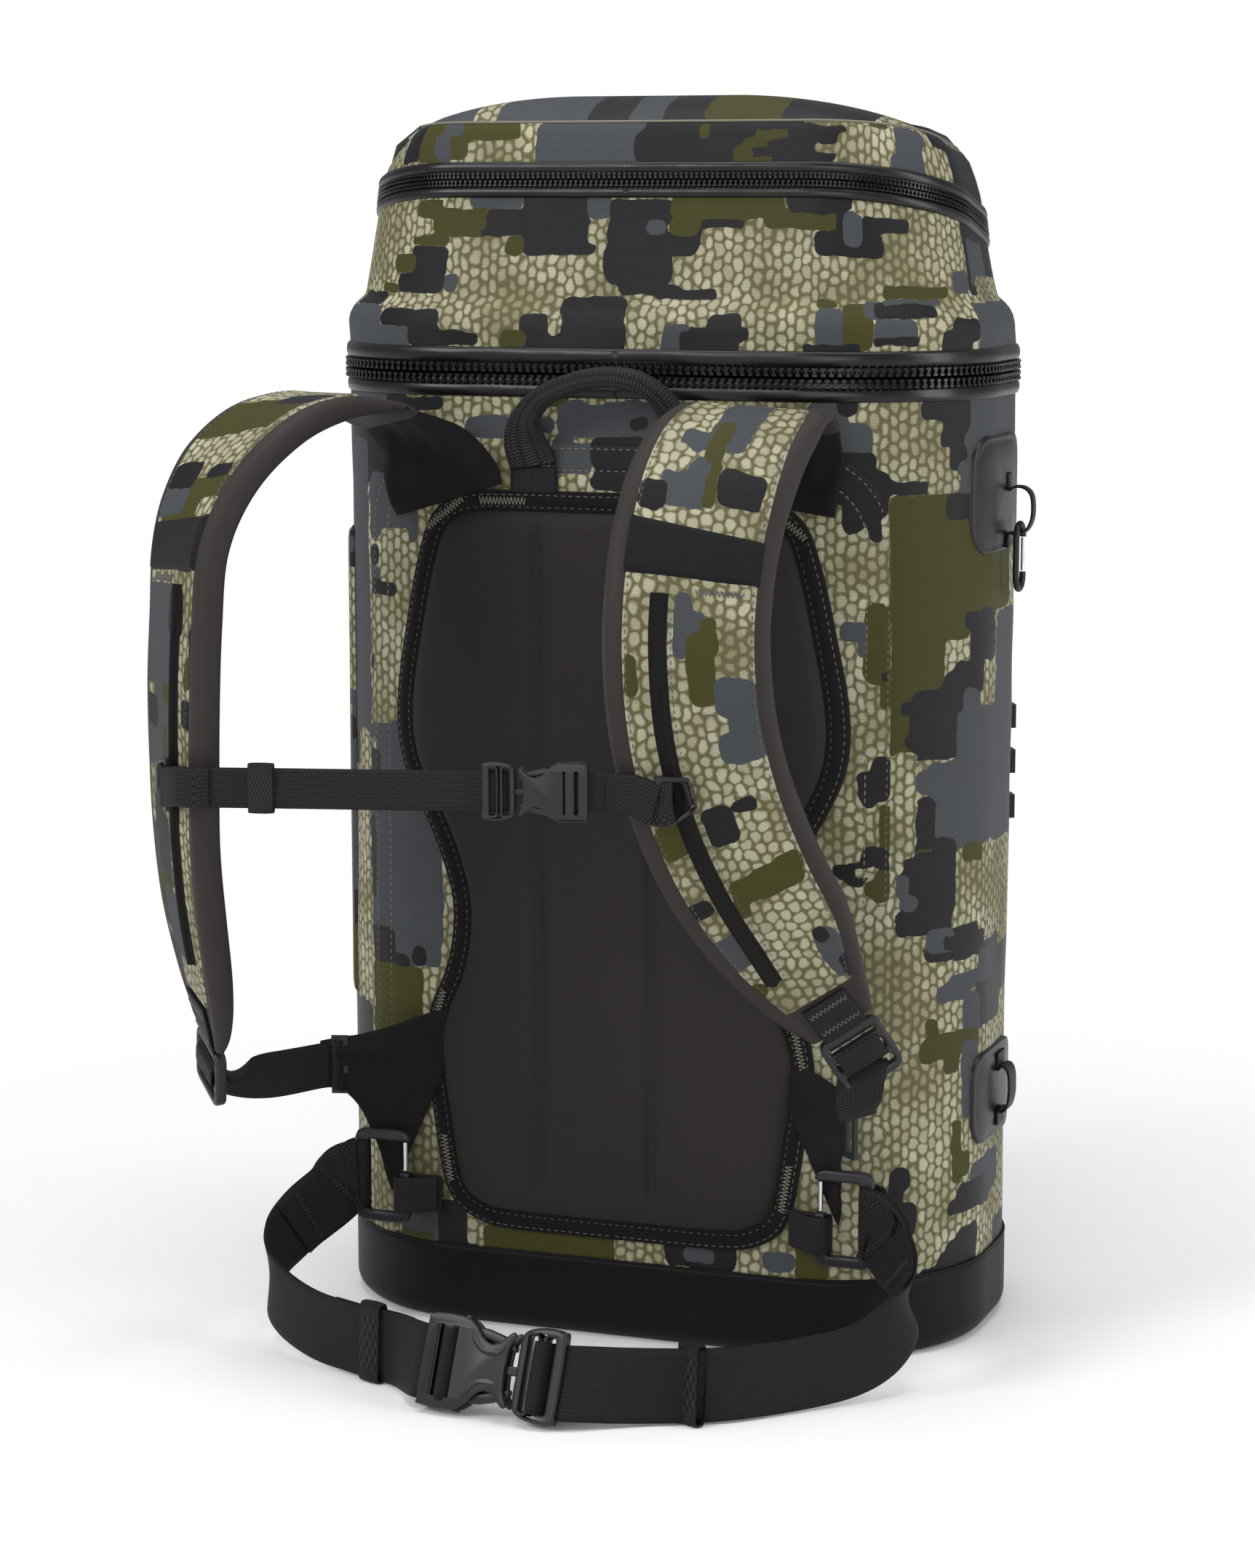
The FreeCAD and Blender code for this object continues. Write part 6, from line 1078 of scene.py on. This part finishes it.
for side, o3, u3 in (("left", (-94, -212, 21.2), (28, -10, 0)), ("right", (84, -220.8, 21.2), (35, -16, 0))):
    ku = unit(np.array(u3, float)); kv = unit(np.array((0, 0.08, 1)) - ku * (0)); kn = np.cross(ku, kv); kc = np.array(o3, float)
    pr = []
    for a in np.linspace(0, 2 * math.pi, 48, endpoint=False):
        ca_, sa_ = math.cos(a), math.sin(a); pr.append((np.sign(ca_) * abs(ca_) ** 0.22 * 20.9, np.sign(sa_) * abs(sa_) ** 0.4 * 3.5))
    G_ = np.stack([np.stack([kc + ku * a + kv * (z * s_) + kn * (y * s_) for z, y in pr], 0) for a, s_ in ((-6.8, .95), (-6.6, 1.0), (0, 1.02), (6.6, 1.0), (6.8, .95))], 0)
    uvk = np.zeros(G_.shape[:2] + (2,)); uvk[..., 0] = np.arange(48)[None] * 2.0; uvk[..., 1] = np.array([-6.8, -6.6, 0, 6.6, 6.8])[:, None]
    g_ = Geo(); g_.add(G_, grid_faces(5, 48, close_v=True), uvk); o = g_.obj("hip_keeper_sleeve_" + side, M_WEB, "pack" if side == "left" else None, "webbing", replaces=("hip_keeper_" + side,))
    if side == "right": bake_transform(o)

# ------------------------------------------------------------------ moulded plastic plates
def plate(geo, outlines, t, bevel, O, U, V, h0=0.0, res=2):
    """outlines: closed (x, y) lists in mm, the first outside and the rest holes; a plate of thickness t centred at height h0."""
    cu = bpy.data.curves.new("tmp", 'CURVE'); cu.dimensions = '2D'; cu.fill_mode = 'BOTH'
    for pts in outlines:
        sp = cu.splines.new('POLY'); sp.points.add(len(pts) - 1)
        for q, (x, y) in zip(sp.points, pts): q.co = (x, y, 0, 1)
        sp.use_cyclic_u = True
    cu.extrude = max(t / 2 - bevel, 0.01); cu.bevel_depth = bevel; cu.bevel_resolution = res; cu.offset = -bevel
    ob = bpy.data.objects.new("tmp", cu); scene.collection.objects.link(ob); bpy.context.view_layer.update()
    me = bpy.data.meshes.new_from_object(ob.evaluated_get(bpy.context.evaluated_depsgraph_get()))
    v = np.zeros(len(me.vertices) * 3); me.vertices.foreach_get("co", v); v = v.reshape(-1, 3)
    # weld the seams of the bevel
    key = {}; mp = np.zeros(len(v), int); keep = []
    for i, c in enumerate(np.round(v, 3)):
        k = tuple(c)
        if k not in key: key[k] = len(keep); keep.append(i)
        mp[i] = key[k]
    fs = []
    for p in me.polygons:
        q = [int(mp[i]) for i in p.vertices]; r = [a for a, b in zip(q, q[1:] + q[:1]) if a != b]
        if len(set(r)) > 2 and len(set(r)) == len(r): fs.append(tuple(r))
    v = v[keep]; U = unit(np.array(U, float)); V = np.array(V, float); V = unit(V - U * (V @ U)); N = np.cross(U, V)
    geo.add(np.array(O, float) + v[:, :1] * U + v[:, 1:2] * V + (v[:, 2:3] + h0) * N, fs)
    bpy.data.objects.remove(ob); bpy.data.curves.remove(cu); bpy.data.meshes.remove(me)
def rr(x0, y0, x1, y1, r, k=6):
    out = []
    for cx_, cy_, a0 in ((x1 - r, y0 + r, -90), (x1 - r, y1 - r, 0), (x0 + r, y1 - r, 90), (x0 + r, y0 + r, 180)):
        for i in range(k + 1):
            a = math.radians(a0 + 90.0 * i / k); out.append((cx_ + r * math.cos(a), cy_ + r * math.sin(a)))
    return out
def smooth_loop(pts, per=5):
    p = [pts[-1]] + list(pts) + [pts[0], pts[1]]; D = catmull(p, per); return [tuple(q) for q in D[per:-per][:len(pts) * per]]
def hard(o, ang=32):
    try: o.data.set_sharp_from_angle(angle=math.radians(ang))
    except Exception: pass
    return o
def side_release(pre, O, U, V, L, W, T, bf, bm, bpu, bpl):
    h = W / 2; X = lambda x: x * L; Y = lambda y: y * h
    up = [(-.50, .80), (-.48, .96), (-.40, 1.0), (-.30, 1.0), (-.21, .96), (-.14, .82), (-.08, .60), (-.02, .50), (.04, .55), (.09, .70), (.13, .80), (.155, .74), (.135, .58), (.115, .42), (.108, .2)]
    out = smooth_loop([(X(a), Y(b)) for a, b in up] + [(X(a), Y(-b)) for a, b in up[::-1]])
    s1 = rr(X(-.43), Y(-.80), X(-.36), Y(.80), X(.016)); s2 = rr(X(-.31), Y(-.80), X(-.255), Y(.80), X(.016))
    g_ = Geo(); b = T * 0.10
    plate(g_, [out, s1, s2], T * 0.23, b, O, U, V, T * 0.385); plate(g_, [out, s1, s2], T * 0.23, b, O, U, V, -T * 0.385)
    back = smooth_loop([(X(-.50), Y(.80)), (X(-.48), Y(.955)), (X(-.38), Y(.99)), (X(-.26), Y(.99)), (X(-.205), Y(.94)), (X(-.195), 0), (X(-.205), Y(-.94)), (X(-.26), Y(-.99)), (X(-.38), Y(-.99)), (X(-.48), Y(-.955)), (X(-.50), Y(-.80))], 4)
    plate(g_, [back, s1, s2], T * 0.56, T * 0.05, O, U, V, 0)
    # raised ribs on the face
    for sg in (-1, 1):
        arc_ = smooth_loop([(X(-.17), Y(sg * .72)), (X(-.12), Y(sg * .55)), (X(-.05), Y(sg * .36)), (X(.05), Y(sg * .36)), (X(.09), Y(sg * .46)), (X(.04), Y(sg * .27)), (X(-.06), Y(sg * .26)), (X(-.14), Y(sg * .44))], 4)
        if sg < 0: arc_ = arc_[::-1]
        plate(g_, [arc_], T * 0.05, T * 0.02, O, U, V, T * 0.52, 1)
    hard(g_.obj(pre + "_buckle_socket", M_PLAS, bf, "buckle_plastic", replaces=(pre + "_buckle_female",)))
    g_ = Geo()
    mo = [(.182, .50), (.185, .66), (.205, .84), (.27, .95), (.38, 1.0), (.47, .96), (.50, .78)]
    outm = smooth_loop([(X(a), Y(b)) for a, b in mo] + [(X(a), Y(-b)) for a, b in mo[::-1]] + [(X(.182), Y(-.2)), (X(.183), 0), (X(.182), Y(.2))])
    m1 = rr(X(.24), Y(-.80), X(.30), Y(.80), X(.016)); m2 = rr(X(.37), Y(-.80), X(.43), Y(.80), X(.016))
    plate(g_, [outm, m1, m2], T * 0.78, T * 0.16, O, U, V, 0)
    plate(g_, [rr(X(-.10), Y(-.10), X(.20), Y(.10), X(.012))], T * 0.42, T * 0.06, O, U, V, 0)
    hard(g_.obj(pre + "_buckle_insert", M_PLAS, bm, "buckle_plastic", replaces=(pre + "_buckle_male",)))
    for sg, bd, nm in ((1, bpu, "upper"), (-1, bpl, "lower")):
        g_ = Geo()
        pr = [(.146, .53), (.10, .62), (.04, .70), (-.03, .76), (-.09, .80), (-.15, .78), (-.185, .70), (-.17, .60), (-.10, .58), (-.03, .54), (.05, .47), (.10, .42), (.146, .40)]
        ol = smooth_loop([(X(a), Y(sg * b_)) for a, b_ in pr], 4)
        plate(g_, [ol if sg > 0 else ol[::-1]], T * 0.46, T * 0.10, O, U, V, 0)
        hard(g_.obj(pre + "_prong_" + nm + "_arm", M_PLAS, bd, "buckle_plastic", replaces=(pre + "_prong_" + nm,)))
side_release("hip", HBc, HU, HV, 78.0, 48.0, 10.0, "pack", "hip_male", "hip_prong_upper", "hip_prong_lower")
SBc, SU = np.array((14, -253.442, 323.0)), np.array((-.97265, -.232256, 0))
side_release("sternum", SBc, SU, (0, 0, 1), 52.0, 29.0, 7.5, "sternum", "sternum_male", "sternum_prong_upper", "sternum_prong_lower")
for side in ("left", "right"):
    P, T, W, N, w, t = FR_[side]; c_ = P[-1] + T[-1] * 19.5; g_ = Geo()
    holes = [rr(-13.3, a, 13.3, b, 1.2) for a, b in ((-12.2, -6.8), (-2.0, 3.4), (8.2, 12.2))]
    plate(g_, [rr(-17.2, -17, 17.2, 17, 6)] + holes, 6.2, 1.7, c_, W[-1], -T[-1], 0, 3)
    hard(g_.obj("ladder_lock_" + side, M_PLAS, "adjuster_" + side, "buckle_plastic", replaces=("adjuster_" + side,)), 40)
g_ = Geo()
for side in ("left", "right"):
    Q, Uq, Vq, Nq, sg = CLIP[side]
    o_ = smooth_loop([(sg * a, b) for a, b in [(7, -13.5), (9, -12), (9, 12), (7, 13.5), (3, 12.2), (-5.5, 9.0), (-8, 6), (-8, -6), (-5.5, -9.0), (3, -12.2)]], 4)
    h_ = smooth_loop([(sg * a, b) for a, b in [(4.6, -10.2), (4.9, 0), (4.6, 10.2), (3.2, 9.9), (-3.6, 6.8), (-4.4, 0), (-3.6, -6.8), (3.2, -9.9)]], 4)
    if sg < 0: o_, h_ = o_[::-1], h_[::-1]
    plate(g_, [o_, h_], 3.4, 1.1, Q, Uq, Vq, 6.6, 3)
    for a in (-5.3, 5.3): plate(g_, [rr(a - 1.4, -6.5, a + 1.4, 6.5, 1.0)], 4.0, 0.5, Q, Uq, Vq, 3.5, 1)
hard(g_.obj("sternum_clip_frames", M_PLAS, "sternum", "buckle_plastic", replaces=("sternum_clips",)), 40)
g_ = Geo()
for s in (-1, 1):
    C_sh = [(115, 84.6), (115, 61), (116.6, 57.6), (120, 56), (142, 56), (145.4, 57.6), (147, 61), (147, 103), (145.4, 106.4), (142, 108), (120, 108), (116.6, 106.6), (115, 104), (115.4, 102.2), (121, 102), (138.5, 102), (141, 99.5), (141, 64.5), (138.5, 62), (123, 62), (121, 64), (121, 84.6)]
    plate(g_, [[(x, z) for x, z in C_sh]], 5.5, 1.6, (0, -112.25, 0), (s, 0, 0), (0, 0, 1), 0, 3)
hard(g_.obj("hip_hook_frames", M_PLAS, "pack", "buckle_plastic", replaces=("hip_hooks",)), 40)
g_ = Geo()
for s in (-1, 1):
    st = [((s * x, y, 73), Zv, 19.5) for x, y in ((99, -106.6), (108, -106.9), (114.5, -107.4), (121.0, -107.9), (123.2, -110.5), (123.2, -114.5), (121.2, -117.2), (115, -117.6), (109, -113.5), (101, -108.6))]
    ribbon(g_, st, 1.7, per=6, w=19.5)
g_.obj("hip_anchor_webbing", M_WEB, "pack", "webbing", replaces=("hip_anchors",))
# side loops: folded coated strap standing off each patch
g_ = Geo()
for zc, fx in ((445.0, 1.0), (131.0, 0.5)):
    st = [((184 + (x - 184) * fx, 4, zc + z), (0, 1, 0), 8.5) for x, z in ((183.6, 20), (183.9, 11), (187.5, 12.6), (192.5, 12), (196, 8.5), (197, 2), (196.4, -5), (193.5, -10.5), (188.5, -12.6), (184.2, -12.4), (183.8, -20))]
    ribbon(g_, st, 1.5, per=6, w=(7.4 if fx == 1.0 else 15.0))
g_.obj("side_loop_straps", M_TPU2, "pack", "dark_fabric", replaces=("side_loops",))
# side patches: thin welded pieces with a soft edge
def side_patch(geo, y0, y1, z0, z1, r, off, sx=1):
    ol = [(p[0], p[1]) for p in rr(y0, z0, y1, z1, r, 8)]; ol = np.array(ol); c_ = ol.mean(0); rings = [(1.0, 0.3), (0.995, off * 0.6), (0.985, off), (0.94, off + 0.05), (0.90, off - 0.25), (0.86, off), (0.6, off + .2), (0.3, off + .3), (0.02, off + .3)]
    G_ = []
    for k, o_ in rings:
        q = c_ + (ol - c_) * k; yy = q[:, 0]; d_ = np.clip(np.abs(yy) - 14, 0, 60); rx = np.sqrt((BR + o_) ** 2 - d_ ** 2)
        G_.append(np.stack([sx * (95 + rx), yy, q[:, 1]], -1))
    G_ = np.stack(G_, 0); geo.add(G_, grid_faces(len(rings), len(ol), close_v=True), np.stack([G_[..., 1], G_[..., 2]], -1))
g_ = Geo(); side_patch(g_, -46, 28, 424, 486, 16, 2.0); side_patch(g_, -38, 32, 106, 156, 14, 2.0)
g_.obj("side_patch_pieces", M_TPU, "pack", "dark_fabric", replaces=("side_patches",))
# fabric panel on the other side
ssl = np.linspace(-288, -181, 60); zsl = np.linspace(170, 430, 130); S, Z_ = np.meshgrid(ssl, zsl, indexing='ij'); ed = np.minimum(np.minimum(S + 288, -181 - S), np.minimum(Z_ - 170, 430 - Z_))
offp = np.where(ed < 0.05, 0.1, 1.2 + 1.2 * np.sqrt(np.clip(ed / 6, 0, 1)) + 0.3 * vnoise(S / 30, Z_ / 40, 71) * np.clip(ed / 15, 0, 1))
C, n = foot(np.mod(S, PER)); P = np.concatenate([C + n * (BR + offp)[..., None], Z_[..., None]], -1)
g_ = Geo(); g_.add(P, grid_faces(60, 130), np.stack([S + 37, Z_], -1), **paint(S + 37, Z_ - 13, LAY_BODY_L, seed=4)); g_.obj("side_panel_fabric", M_CAMO, "pack", "camo_fabric", replaces=("side_panel_left",))

# ------------------------------------------------------------------ hinge fabric
for node in ("lid_hinge_fabric", "cap_hinge_fabric"):
    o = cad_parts[node]; o.data.materials.clear(); o.data.materials.append(M_DARKFAB)

def finish_bounds():
    bpy.context.view_layer.update()
finish_bounds()
